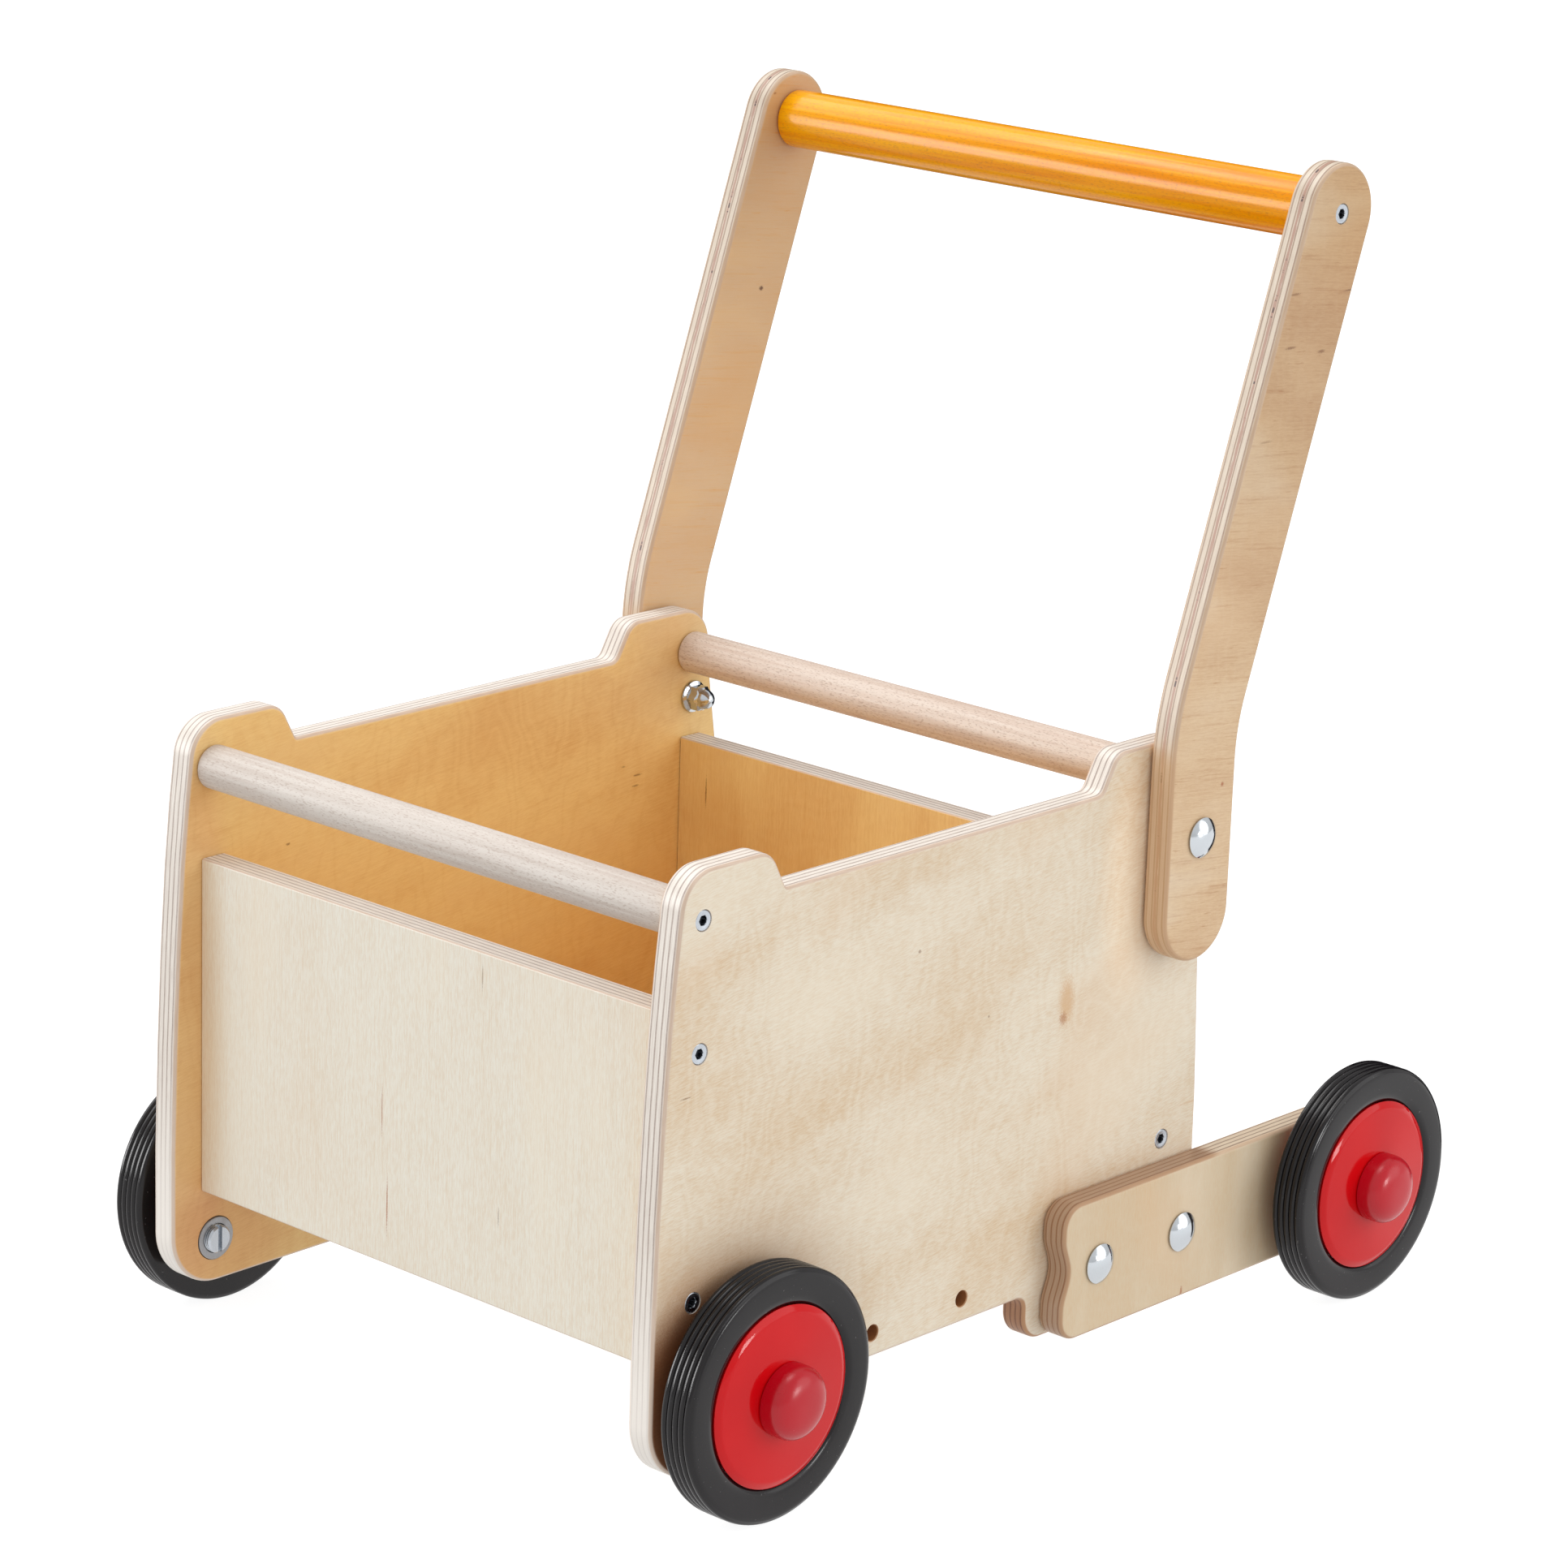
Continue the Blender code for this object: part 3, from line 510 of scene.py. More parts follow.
def edge_layers(g, dark_tint, light_tint, core, voids, painted_edge_shade, painted_light_lift, painted_shade_band, bores):
    """The colour of a board's edges, with painted shade and painted light where the arguments ask for them.
    """
    wave = g.noise(g.stretch(g.point, (0.03, 0.03, 0.03), (g.seed, 3.0, 7.0)), detail=1.0)
    wavy = g.add("Math", wave, WANDER, g.deep, operation="MULTIPLY_ADD")
    turn = g.math("FLOORED_MODULO", g.math("SUBTRACT", wavy, WANDER / 2.0), PERIOD)
    light_ply = g.mix(g.smooth(g.streak, 0.34, 0.66), LIGHT_PLY, LIGHT_PLY_2)
    speckle = g.math("ADD", g.streak, g.math("MULTIPLY", g.cells, 0.5))
    dark_ply = g.mix(g.smooth(speckle, 0.5, 1.0), DARK_PLY, DARK_PLY_2)
    dark_ply = g.mix(1.0, dark_ply, dark_tint, "MULTIPLY")
    light_ply = g.mix(1.0, light_ply, light_tint, "MULTIPLY")
    edge = g.mix(g.band(turn, DARK_LAYER), light_ply, dark_ply)
    if core:
        torn = g.math("ADD", g.deep, g.math("MULTIPLY", g.math("SUBTRACT", g.streak, 0.5), TORN))
        edge = g.mix(g.band(torn, CORE_LAYER, core), edge, CORE_RED)
    if voids:
        gap = g.noise(g.stretch(g.point, (0.0, 0.11, 0.11), (g.seed, 11.0, 2.0)), detail=4.0, rough=0.75)
        gap = g.smooth(gap, 0.72 - voids, 0.76 - voids)
        edge = g.mix(g.math("MULTIPLY", g.band(g.deep, VOID_LAYER), gap), edge, VOID_BROWN)
    # painted shade: brown multiplied into the edges round each place in painted_edge_shade
    for y, z, reach_y, reach_z, strength in painted_edge_shade:
        shade = g.smooth(g.away(y, z, reach_y, reach_z), 0.7, 1.0, strength, 0.0)
        edge = g.mix(shade, edge, PAINTED_SHADE_BROWN, "MULTIPLY")
    # painted light: the front edges made paler below a height, against the shade of the wheels
    if painted_light_lift:
        low, high, strength = painted_light_lift
        ahead = g.smooth(g.at[1], *FRONT_EDGES, 1.0, 0.0)
        edge = g.mix(g.math("MULTIPLY", g.smooth(g.at[2], low, high, strength, 0.0), ahead), edge, PAINTED_LIGHT_EDGE)
    # painted shade: edges browner along one axis, where a neighbouring board shades them
    if painted_shade_band:
        along, *ramp, colour = painted_shade_band
        edge = g.mix(g.smooth(g.at["xyz".index(along)], *ramp), edge, colour)
    # painted shade: each open hole's wall and rim browned
    for y, z in bores:
        edge = g.mix(g.smooth(g.away(y, z), *BORE_RING, 1.0, 0.0), edge, BORE_PAINTED_SHADE)
    return edge


def face_veneer(g, outside, inside, aged_tone, figure, variety, veins, pores, marks):
    """The colour of a board's faces, and the height of their fibres."""
    tone = g.fibres(0.008, 0.022, 1.0, 3.0, 0.55)
    fibre = g.fibres(0.035, 1.7, 4.0, 4.0, 0.65)
    fleck = g.fibres(0.26, 2.0, 9.0, 3.0, 0.65)
    cloud = g.fibres(0.010, 0.013, 21.0, 2.0)
    contour = g.fibres(0.010, 0.005, 13.0, 4.0, 0.55)
    rings = g.math("PINGPONG", g.math("MULTIPLY", contour, RINGS), 1.0)
    outer = g.smooth(g.out, -0.5, 0.5)
    deep_tone = g.mix(outer, DEEP_INSIDE, aged_tone)

    # how far the veneer passes from its own colour to the deep tone
    aged = g.math("MULTIPLY", g.smooth(tone, 0.42, 0.72), variety)
    aged = g.math("ADD", g.smooth(fibre, 0.40, 0.70, 0.0, 0.16), aged)
    pore = g.math("MULTIPLY", g.smooth(fleck, 0.40, 0.62, 0.0, pores), g.smooth(g.out, -0.5, 0.5, 0.5, 1.0))
    aged = g.math("ADD", pore, aged)
    aged = g.math("ADD", g.smooth(rings, 0.5, 0.0, 0.0, 0.06 * figure), aged)
    if veins:
        vein = g.fibres(0.020, 0.55, 33.0, 5.0, 0.7)
        aged = g.math("ADD", g.smooth(vein, 0.54, 0.68, 0.0, veins), aged)
        stroke = g.fibres(0.10, 1.1, 41.0, 2.0, 0.6)
        aged = g.math("ADD", g.smooth(stroke, 0.66, 0.76, 0.0, veins * 1.4), aged)
    veneer = g.mix(aged, g.mix(outer, inside, outside), deep_tone)

    # warm clouds, pale growth rings and pale patches
    cloudy = g.smooth(cloud, 0.50, 0.72, 0.0, variety)
    veneer = g.mix(cloudy, veneer, g.mix(outer, deep_tone, CLOUD_OUTSIDE))
    ringed = g.smooth(rings, 0.6, 1.0, 0.0, 0.10 * figure)
    veneer = g.mix(ringed, veneer, g.mix(outer, inside, RING_OUTSIDE))
    pale = g.math("MULTIPLY", g.smooth(tone, 0.50, 0.28), 0.35)
    veneer = g.mix(pale, veneer, g.mix(outer, PALE_INSIDE, PALE_OUTSIDE))

    # marks, painted shade and painted light among them, shade or cover the veneer
    for place, reach, strength, colour, full in marks:
        offset = g.add("VectorMath", g.point, place, operation="SUBTRACT")
        offset = g.add("VectorMath", offset, [1.0 / v for v in reach], operation="MULTIPLY")
        away = g.add("VectorMath", offset, operation="LENGTH", out=1)
        blend, wobble = ("MULTIPLY", 0.12) if reach[2] > BROAD else ("MIX", 0.9)
        away = g.math("ADD", away, g.math("MULTIPLY", g.math("SUBTRACT", g.cells, 0.5), wobble))
        veneer = g.mix(g.smooth(away, full, 1.0, strength, 0.0), veneer, colour, blend)
    return veneer, fibre


def plywood(
    name, across, start, grain, outside, inside, marks=(), seed=0.0, tilt=0.0, figure=1.0, variety=0.35,
    veins=0.0, pores=0.32, aged_tone=AGED_OUTSIDE, core=0.0, voids=0.0, painted_shade_band=None, painted_edge_shade=(),
    painted_light_lift=None, bores=(), dark_tint=WHITE, light_tint=WHITE,
):
    """Birch ply with layered edges and rotary-cut faces, coloured outside and inside.

    across is the axis of the thickness, with its sign when the board faces that way, or x for a
    mirrored pair; start is the inner face's distance along it; grain is the axis along the veneer's
    fibres, and tilt their slope against it. seed moves the noise, so that no two boards match.

    Faces: marks come from on_face, painted shade and light among them; figure is the strength of the
    growth rings, variety of the warm drifts and clouds, veins of the long brown veins, pores of the
    short pores; aged_tone is the colour that the outside's darker veneer has.

    Edges: core is the strength of the torn red core layer and voids the share of dark gaps in it;
    dark_tint and light_tint multiply the two layers' colours; painted_edge_shade are (y, z, reaches,
    strength) of painted brown shade; lift is two heights and a strength of painted light, paler
    below the first on the front edges; shelter is an axis, a range along it, the strengths at its
    ends and a colour of painted shade; bores are the (y, z) of open holes with painted brown shade.
    """
    g = Ply(name, across, start, grain, seed, tilt)
    edge = edge_layers(g, dark_tint, light_tint, core, voids, painted_edge_shade, painted_light_lift, painted_shade_band, bores)
    veneer, fibre = face_veneer(g, outside, inside, aged_tone, figure, variety, veins, pores, marks)
    flat = g.math("ABSOLUTE", g.out)
    edge = g.mix(g.math("MULTIPLY", g.band(flat, ARRIS_TURN), 0.5), edge, BURNT)
    g.colour(g.mix(g.smooth(flat, *FACE_TURN), edge, veneer))
    g.bump(g.math("ADD", fibre, g.math("MULTIPLY", g.streak, 0.5)), 0.10, 0.25)
    return g.material


def on_face(axis, at, *rows):
    """Marks, painted shade and painted light on the face where axis is at.

    A row is a place along the other two axes, the reach along each, a strength, a colour and, where
    it isn't a quarter, the share of the reach that has the full strength.
    """
    marks = []
    for a, b, reach_a, reach_b, strength, colour, *full in rows:
        place, reach = [a, b], [reach_a, reach_b]
        place.insert(axis, at)
        reach.insert(axis, MARK_DEPTH)
        marks.append((place, reach, strength, colour, full[0] if full else 0.25))
    return marks


MARK = rgb(128, 84, 48)
KNOT = rgb(214, 170, 120)
RUST = rgb(170, 92, 48)

# the knot, painted shadow of the front wheel, painted light that pales the arm's shadow, and small dark
# marks
SIDE_MARKS_AND_PAINTED_LIGHT = on_face(
    0, SIDE_OUT,
    (8.6, 159.0, 6.5, 14.0, 0.70, KNOT),
    (6.9, 152.0, 3.0, 3.6, 0.60, rgb(176, 112, 66)),
    # painted shadow of the front wheel: warm brown patches round and behind it
    (-176.0, 55.0, 84.0, 80.0, 0.65, rgb(214, 176, 137)),
    (-184.0, 54.0, 62.0, 62.0, 0.70, rgb(194, 146, 100)),
    (-192.0, 44.0, 56.0, 56.0, 0.85, rgb(166, 112, 68), 0.60),
    # painted light: a paler patch that lightens the arm's shadow on the side face
    (46.0, 205.0, 26.0, 66.0, 0.80, (1.20, 1.12, 1.04, 1.0)),
    (-80.9, 198.6, 1.1, 1.0, 0.6, MARK),
    (-38.5, 163.1, 0.8, 0.7, 0.6, MARK),
    (-207.7, 169.8, 3.4, 0.5, 0.6, MARK),
    (90.0, 97.2, 9.0, 0.7, 0.4, KNOT),
)
# painted shade that deepens the tone at the ends and foot of the far side's inner face, and small dark marks
SIDE_MARKS_AND_PAINTED_LIGHT += on_face(
    0, -SIDE_IN,
    (-215.0, 130.0, 30.0, 150.0, 0.90, (0.96, 0.85, 0.88, 1.0), 0.60),
    (-195.0, 40.0, 46.0, 46.0, 0.90, (0.92, 0.76, 0.70, 1.0)),
    (62.0, 250.0, 44.0, 34.0, 0.70, (0.84, 0.80, 0.92, 1.0)),
    (40.0, 90.0, 150.0, 100.0, 0.60, (0.97, 0.84, 0.72, 1.0)),
    (39.2, 187.1, 3.4, 0.6, 0.7, MARK),
    (38.3, 182.5, 2.8, 0.6, 0.6, MARK),
    (30.6, 192.3, 1.6, 0.5, 0.5, MARK),
    (-161.1, 196.1, 1.6, 0.7, 0.7, MARK),
)
ARM_MARKS = on_face(
    0, HARM_OUT,
    (125.0, 430.0, 90.0, 190.0, 0.60, rgb(226, 214, 198)),
    (165.0, 470.0, 60.0, 80.0, 0.60, rgb(246, 232, 206)),
    (112.7, 430.0, 4.4, 0.7, 0.6, MARK),
    (148.7, 427.7, 6.0, 0.6, 0.7, MARK),
    (111.6, 408.8, 4.6, 0.8, 0.7, MARK),
    (131.9, 405.0, 3.2, 1.0, 0.7, MARK),
    (83.8, 236.2, 1.3, 1.3, 0.8, RUST),
    (99.4, 372.8, 6.0, 0.7, 0.35, MARK),
)
ARM_MARKS += on_face(
    0, -HARM_IN,
    (130.0, 460.0, 90.0, 150.0, 0.50, rgb(234, 226, 212)),
    (122.0, 386.9, 1.8, 1.4, 0.9, rgb(92, 52, 24)),
    (126.9, 470.7, 1.2, 0.7, 0.6, MARK),
)
FRONT_MARKS = on_face(
    1, FRONT_FACE,
    (-130.0, 130.0, 24.0, 140.0, 0.45, rgb(242, 216, 178)),
    (-22.0, 122.0, 0.45, 13.0, 0.65, RUST),
    (-18.6, 84.0, 0.55, 15.0, 0.75, RUST),
    (32.2, 189.5, 0.5, 6.5, 0.5, MARK),
    (42.9, 96.4, 0.5, 5.5, 0.45, MARK),
)
BACK_MARKS = on_face(1, BACK_FACE, (-111.2, 178.0, 0.5, 9.0, 0.75, rgb(120, 70, 26)))
WHEEL_ARM_MARKS_AND_SHADOW = on_face(
    0, WARM_OUT,
    (76.5, 22.0, 1.0, 3.4, 0.7, RUST),
    # painted shadow of the rear tyre on the wheel arm's end
    (174.0, 50.0, 60.0, 62.0, 0.60, rgb(186, 150, 118)),
)

HONEY = rgb(242, 209, 142)
CREAM = rgb(235, 224, 204)
TAN = rgb(214, 180, 140)
side_ply = plywood(
    "ply_side", "x", SIDE_IN, "y", CREAM, HONEY, SIDE_MARKS_AND_PAINTED_LIGHT, tilt=-0.12, figure=1.4,
    # painted light on the low front edges, painted shade on the rear foot's front edges and in the spare
    # holes
    painted_light_lift=(40.0, 130.0, 0.75), painted_edge_shade=((-4.0, 26.0, 26.0, 16.0, 0.9),), bores=SPARE_HOLES,
)
arm_ply = plywood(
    "ply_handle_arm", "x", HARM_IN, "y", rgb(225, 194, 154), TAN, ARM_MARKS, seed=31.0, tilt=0.12,
    figure=0.3, veins=0.36, pores=0.16, aged_tone=rgb(186, 136, 92), core=0.8, voids=0.14,
    # painted shade: the edges browner below the side panel's top, where the panel shades them
    painted_shade_band=("z", 246.0, 264.0, 0.65, 0.0, rgb(219, 176, 130)),
    dark_tint=(0.82, 0.68, 0.54, 1.0), light_tint=(0.84, 0.78, 0.69, 1.0),
)
wheel_arm_ply = plywood(
    "ply_wheel_arm", "x", WARM_IN, "z", rgb(217, 197, 166), TAN, WHEEL_ARM_MARKS_AND_SHADOW, seed=57.0, figure=0.3,
    # painted shade: the edges brown alongside the side panel, which shades them, and pale past its rear end
    painted_shade_band=("y", 92.0, 100.0, 0.62, 0.05, rgb(146, 90, 44)),
    dark_tint=(0.86, 0.74, 0.60, 1.0), light_tint=(0.95, 0.87, 0.74, 1.0),
)
front_ply = plywood(
    "ply_front", "-y", -span("front_panel", 1)[1], "z", rgb(238, 233, 219), HONEY, FRONT_MARKS,
    seed=73.0, figure=0.2, pores=0.22, variety=0.10,
)
back_ply = plywood(
    "ply_back", "y", span("back_panel", 1)[0], "z", CREAM, HONEY, BACK_MARKS, seed=91.0, figure=0.7
)
floor_ply = plywood("ply_floor", "z", span("floor_panel", 2)[0], "x", HONEY, CREAM, seed=113.0)


# --- other materials ----------------------------------------------------------------------------
def beech(name, light, dark, fleck_depth, seed, **sockets):
    """Turned beech along X: fine growth lines and short dark ray flecks."""
    g = Graph(name, **sockets)
    point, _ = g.place()
    line = g.noise(g.stretch(point, (0.012, 0.55, 0.55), (seed, 2.0, 5.0)), detail=4.0, rough=0.6)
    tone = g.noise(g.stretch(point, (0.006, 0.09, 0.09), (seed, 8.0, 1.0)), detail=2.0)
    dash = g.noise(g.stretch(point, (0.62, 2.4, 2.4), (seed, 4.0, 3.0)), detail=1.0, rough=0.3)
    body = g.mix(g.smooth(g.math("ADD", line, g.math("MULTIPLY", tone, 0.8)), 0.62, 1.15), dark, light)
    fleck = g.smooth(dash, 0.56, 0.68, 0.0, fleck_depth)
    g.colour(g.mix(fleck, body, g.mix(0.55, dark, MARK)))
    g.bump(g.math("SUBTRACT", line, g.math("MULTIPLY", fleck, 0.4)), 0.12, 0.25)
    return g.material


def gloss(name, base, deep, grain, relief, **sockets):
    """Lacquer or moulded plastic with a faint orange peel and tone drift."""
    g = Graph(name, **sockets)
    point, _ = g.place()
    drift = g.noise(g.stretch(point, (0.03, 0.03, 0.03)), detail=2.0)
    peel = g.noise(point, grain, 2.0)
    g.colour(g.mix(g.smooth(drift, 0.3, 0.7), base, deep))
    g.roughness(g.smooth(peel, 0.3, 0.7, sockets["Roughness"] * 0.85, sockets["Roughness"] * 1.15))
    g.bump(peel, relief, 0.05)
    return g.material


def metal(name, tint, rough, brushed, flecks):
    """Plated steel: a slight roughness drift, and small scuffs."""
    g = Graph(name, Metallic=1.0)
    point, _ = g.place()
    drift = g.noise(g.stretch(point, (0.3, 0.3, 0.3)), detail=2.0)
    scuff = g.noise(g.stretch(point, (brushed, 2.0, 0.4)), detail=3.0, rough=0.7)
    g.colour(g.mix(g.smooth(scuff, 0.55, 0.80, 0.0, flecks), tint, (0.30, 0.30, 0.31, 1.0)))
    g.roughness(g.smooth(g.math("ADD", drift, scuff), 0.6, 1.4, rough * 0.7, rough * 1.5))
    g.bump(scuff, 0.015, 0.05)
    return g.material


def rubber(name, tint, dust, sheen=(0.30, 0.40)):
    """Moulded rubber with a fine grain and a little dust."""
    g = Graph(name, Roughness=0.48, Specular_IOR_Level=0.30)
    point, _ = g.place()
    grain = g.noise(point, 2.4, 2.0)
    speck = g.noise(point, 0.9, 1.0)
    haze = g.noise(point, 0.05, 3.0)
    body = g.mix(g.smooth(haze, 0.35, 0.7, 0.0, 0.5), tint, dust)
    g.colour(g.mix(g.smooth(speck, 0.74, 0.80, 0.0, 0.5), body, rgb(120, 118, 118)))
    g.roughness(g.smooth(haze, 0.3, 0.7, *sheen))
    g.bump(grain, 0.06, 0.08)
    return g.material


SATIN = {"Roughness": 0.5, "Specular_IOR_Level": 0.25}
front_beech = beech("beech_front", rgb(216, 207, 198), rgb(196, 182, 171), 0.42, 3.0, **SATIN)
rear_beech = beech("beech_rear", rgb(228, 214, 202), rgb(208, 186, 170), 0.50, 17.0, **SATIN)
orange = beech(
    "orange_lacquer", rgb(252, 176, 0), rgb(236, 140, 0), 0.35, 29.0, Roughness=0.18, Specular_IOR_Level=0.18
)
red_disc = gloss(
    "red_lacquer", rgb(216, 8, 16), rgb(208, 4, 14), 0.35, 0.04, Roughness=0.08, Specular_IOR_Level=0.22
)
red_cap = gloss(
    "red_plastic", rgb(196, 2, 28), rgb(188, 0, 24), 0.12, 0.01, Roughness=0.24, Specular_IOR_Level=0.42
)
tyre_rubber = rubber("tyre_rubber", rgb(22, 19, 21), rgb(28, 25, 27), (0.14, 0.21))
pad_rubber = rubber("pad_rubber", rgb(24, 24, 25), rgb(34, 34, 36))
chrome = metal("bright_steel", (0.54, 0.57, 0.60, 1.0), 0.11, 0.4, 0.15)
zinc = metal("zinc_steel", (0.46, 0.49, 0.53, 1.0), 0.26, 1.2, 0.4)
# near-black steel: painted shade down in the screws' hexagon sockets
socket_shade_steel = metal("socket_shade_steel", (0.05, 0.055, 0.065, 1.0), 0.42, 1.2, 0.2)
insert_steel = metal("insert_steel", (0.30, 0.30, 0.31, 1.0), 0.36, 1.5, 0.6)


# --- boards -------------------------------------------------------------------------------------
FOOT_Z, ARCH_Z, DIP_Z, EAR_Z = 18.8, 38.5, 239.8, 255.3
SIDE_CORNERS = (
    (-47.6, FOOT_Z, 24.0), (-47.6, 78.0, 0), (-46.5, 122.0, 0), (-44.9, 160.0, 0),
    (-42.7, 196.0, 0), (-40.5, 220.0, 0), (-36.4, EAR_Z, 16.0), (9.0, EAR_Z, 11.0),
    (17.3, DIP_Z, 1.5), (199.0, DIP_Z, 5.0), (207.9, EAR_Z, 9.0), (254.8, EAR_Z, 16.0),
    (258.0, 222.0, 0), (262.2, 195.0, 0), (265.8, 165.0, 0), (267.8, 130.0, 0),
    (269.3, 100.0, 0), (270.0, 60.0, 0), (270.0, FOOT_Z, 12.0), (165.5, FOOT_Z, 11.0),
    (165.5, ARCH_Z, 5.0), (52.0, ARCH_Z, 5.0), (52.0, FOOT_Z, 11.0),
)
SIDE_OUTLINE = shifted(rounded(SIDE_CORNERS))
ARM_HALF, ARM_BEND = 20.1, 100.0
ARM_FOOT, ARM_KNEE = Vector((72.2, 185.0)), Vector((72.2, 261.4))
AXLE_REAR = centre("wheel_disc_rear_right")
BAR = centre("handle_bar")


def handle_arm_outline():
    """A strip of constant width along a bent centre line, with half-round ends."""
    top = Vector(BAR)
    up = (top - ARM_KNEE).normalized()
    lean = math.atan2(up.x, up.y)
    hub = ARM_KNEE - Vector((0, ARM_BEND * math.tan(lean / 2.0))) + Vector((ARM_BEND, 0))
    turns = arc(lean, 8)
    ahead = [hub + Vector((-math.cos(a), math.sin(a))) * (ARM_BEND + ARM_HALF) for a in turns]
    behind = [hub + Vector((-math.cos(a), math.sin(a))) * (ARM_BEND - ARM_HALF) for a in turns[::-1]]
    half = arc(math.pi, 32)
    cap = [top + Vector((-math.cos(a + lean), math.sin(a + lean))) * ARM_HALF for a in half]
    toe = [ARM_FOOT + Vector((math.cos(a), -math.sin(a))) * ARM_HALF for a in half]
    return [tuple(v) for v in ahead + cap + behind + toe]


def wheel_arm_outline():
    """A straight bar with a waisted front end and a round rear end about the axle."""
    z0, z1, y0 = 19.6, 77.0, 173.8 + Y_SHIFT
    waist_from, waist_to, waist_half, corner = 33.7, 63.7, 1.9, 10.0
    turns = arc(2.0 * math.pi, 20)
    rise = (waist_to - waist_from) / (len(turns) - 1)
    waist = [(y0 + waist_half * (1.0 - math.cos(a)), waist_from + rise * k) for k, a in enumerate(turns)]
    low = fillet((AXLE_REAR[0], z0), (y0, z0), (y0, waist_from), corner, 12)
    high = fillet((y0, waist_to), (y0, z1), (AXLE_REAR[0], z1), corner, 12)
    middle, r = (z0 + z1) / 2.0, (z1 - z0) / 2.0
    cap = [(AXLE_REAR[0] + r * math.sin(a), middle + r * math.cos(a)) for a in arc(math.pi, 36)]
    return low + waist + high + cap


BOARD_ARRIS = 2.0
CLEAR = 2.0  # how far a cutter passes a board's faces


def screw_way(at, face, side):
    """A cutter for a countersunk screw's head and shank."""
    rows = [(face + 1.0, 4.25), (face - 0.55, 4.25), (face - 2.6, PILOT_R), (face - 15.0, PILOT_R)]
    return turned("cutter", at, facing(rows, side), 32)


def through(at, side, x0, x1, radius):
    """A cutter for a plain hole along X."""
    return turned("cutter", at, facing([(x0, radius), (x1, radius)], side), 32)


def side_panel(label, side):
    """A side panel with its ears, feet and holes, stepped where the brake insert sits."""
    low, high = SIDE_IN - CLEAR, SIDE_OUT + CLEAR
    eased = 0.35
    mouth = SPARE_R + eased + 1.0
    hole = [(SIDE_IN - 1.0, mouth), (SIDE_IN + eased, SPARE_R)]
    hole += [(SIDE_OUT - eased, SPARE_R), (SIDE_OUT + 1.0, mouth)]
    cutters = [turned("cutter", at, facing(hole, side), 40) for at in SPARE_HOLES]
    cutters += [screw_way(centre(screw + label), SIDE_OUT, side) for screw in SIDE_SCREWS]
    cutters += [through(centre(bolt + label), side, low, high, BOLT_R) for bolt in BOLTS]
    cutters.append(through(centre("axle_front_" + label), side, low, high, AXLE_R))
    cutters.append(through(centre("rear_dowel"), side, low, high, SPIGOT_R))
    flange, barrel, opening = 9.3, 7.9, 5.6
    sunk, left = SIDE_IN + 1.2, SIDE_OUT - 1.0
    steps = [(low, flange), (sunk, flange), (sunk, barrel), (left, barrel), (left, opening), (high, opening)]
    cutters.append(turned("cutter", centre("brake_insert_" + label), facing(steps, side), 40))
    x = sorted((side * (SIDE_IN - 3.0), side * (SIDE_IN + GROOVE)))
    floor_y = span("floor_panel", 1)
    cutters.append(block(x, (floor_y[0] - 0.5, floor_y[1] + 0.5), TONGUE_Z))
    board = slab("board", SIDE_OUTLINE, side * SIDE_IN, side * SIDE_OUT, BOARD_ARRIS)
    stand_in(settled(board, side_ply, cutters), "side_panel_" + label)


def handle_arm(label, side):
    """A handle arm with the bar's screw hole, the bolt's hole and a blind one for the spigot."""
    low, high, spigot_depth = HARM_IN - CLEAR, HARM_OUT + CLEAR, 6.8
    cutters = [
        screw_way(BAR, HARM_OUT, side),
        through(centre("handle_bolt_" + label), side, low, high, BOLT_R),
        through(centre("rear_dowel"), side, low, HARM_IN + spigot_depth, SPIGOT_R),
    ]
    board = slab("board", handle_arm_outline(), side * HARM_IN, side * HARM_OUT, BOARD_ARRIS)
    stand_in(settled(board, arm_ply, cutters), "handle_arm_" + label)


def wheel_arm(label, side):
    """A wheel arm with holes for its two bolts and the axle pin."""
    low, high = WARM_IN - CLEAR, WARM_OUT + CLEAR
    cutters = [through(AXLE_REAR, side, low, high, AXLE_R)]
    cutters += [through(centre(bolt + label), side, low, high, BOLT_R) for bolt in ARM_BOLTS]
    board = slab("board", wheel_arm_outline(), side * WARM_IN, side * WARM_OUT, BOARD_ARRIS)
    stand_in(settled(board, wheel_arm_ply, cutters), "wheel_arm_" + label)


def end_board(node, material, screws):
    """The front or back board: square ends, its long arrises just eased."""
    (x0, x1), (y0, y1), (z0, z1) = (span(node, axis) for axis in range(3))
    eased = 0.9
    outline = rounded([(y0, z0, eased), (y1, z0, eased), (y1, z1, eased), (y0, z1, eased)], 20.0)
    floor_y = span("floor_panel", 1)
    cutters = [block((x0 - 5.0, x1 + 5.0), (floor_y[0] - 0.4, floor_y[1] + 0.4), TONGUE_Z)]
    for label, side in SIDES:
        for screw in screws:
            cutters.append(through(centre(screw + label), side, x1 - 20.0, x1 + 3.0, PILOT_R))
    board = slab("board", outline, x0, x1, 0.3, 2)
    stand_in(settled(board, material, cutters), node)


for label, side in SIDES:
    side_panel(label, side)
    handle_arm(label, side)
    wheel_arm(label, side)
end_board("front_panel", front_ply, FRONT_SCREWS)
end_board("back_panel", back_ply, BACK_SCREWS)


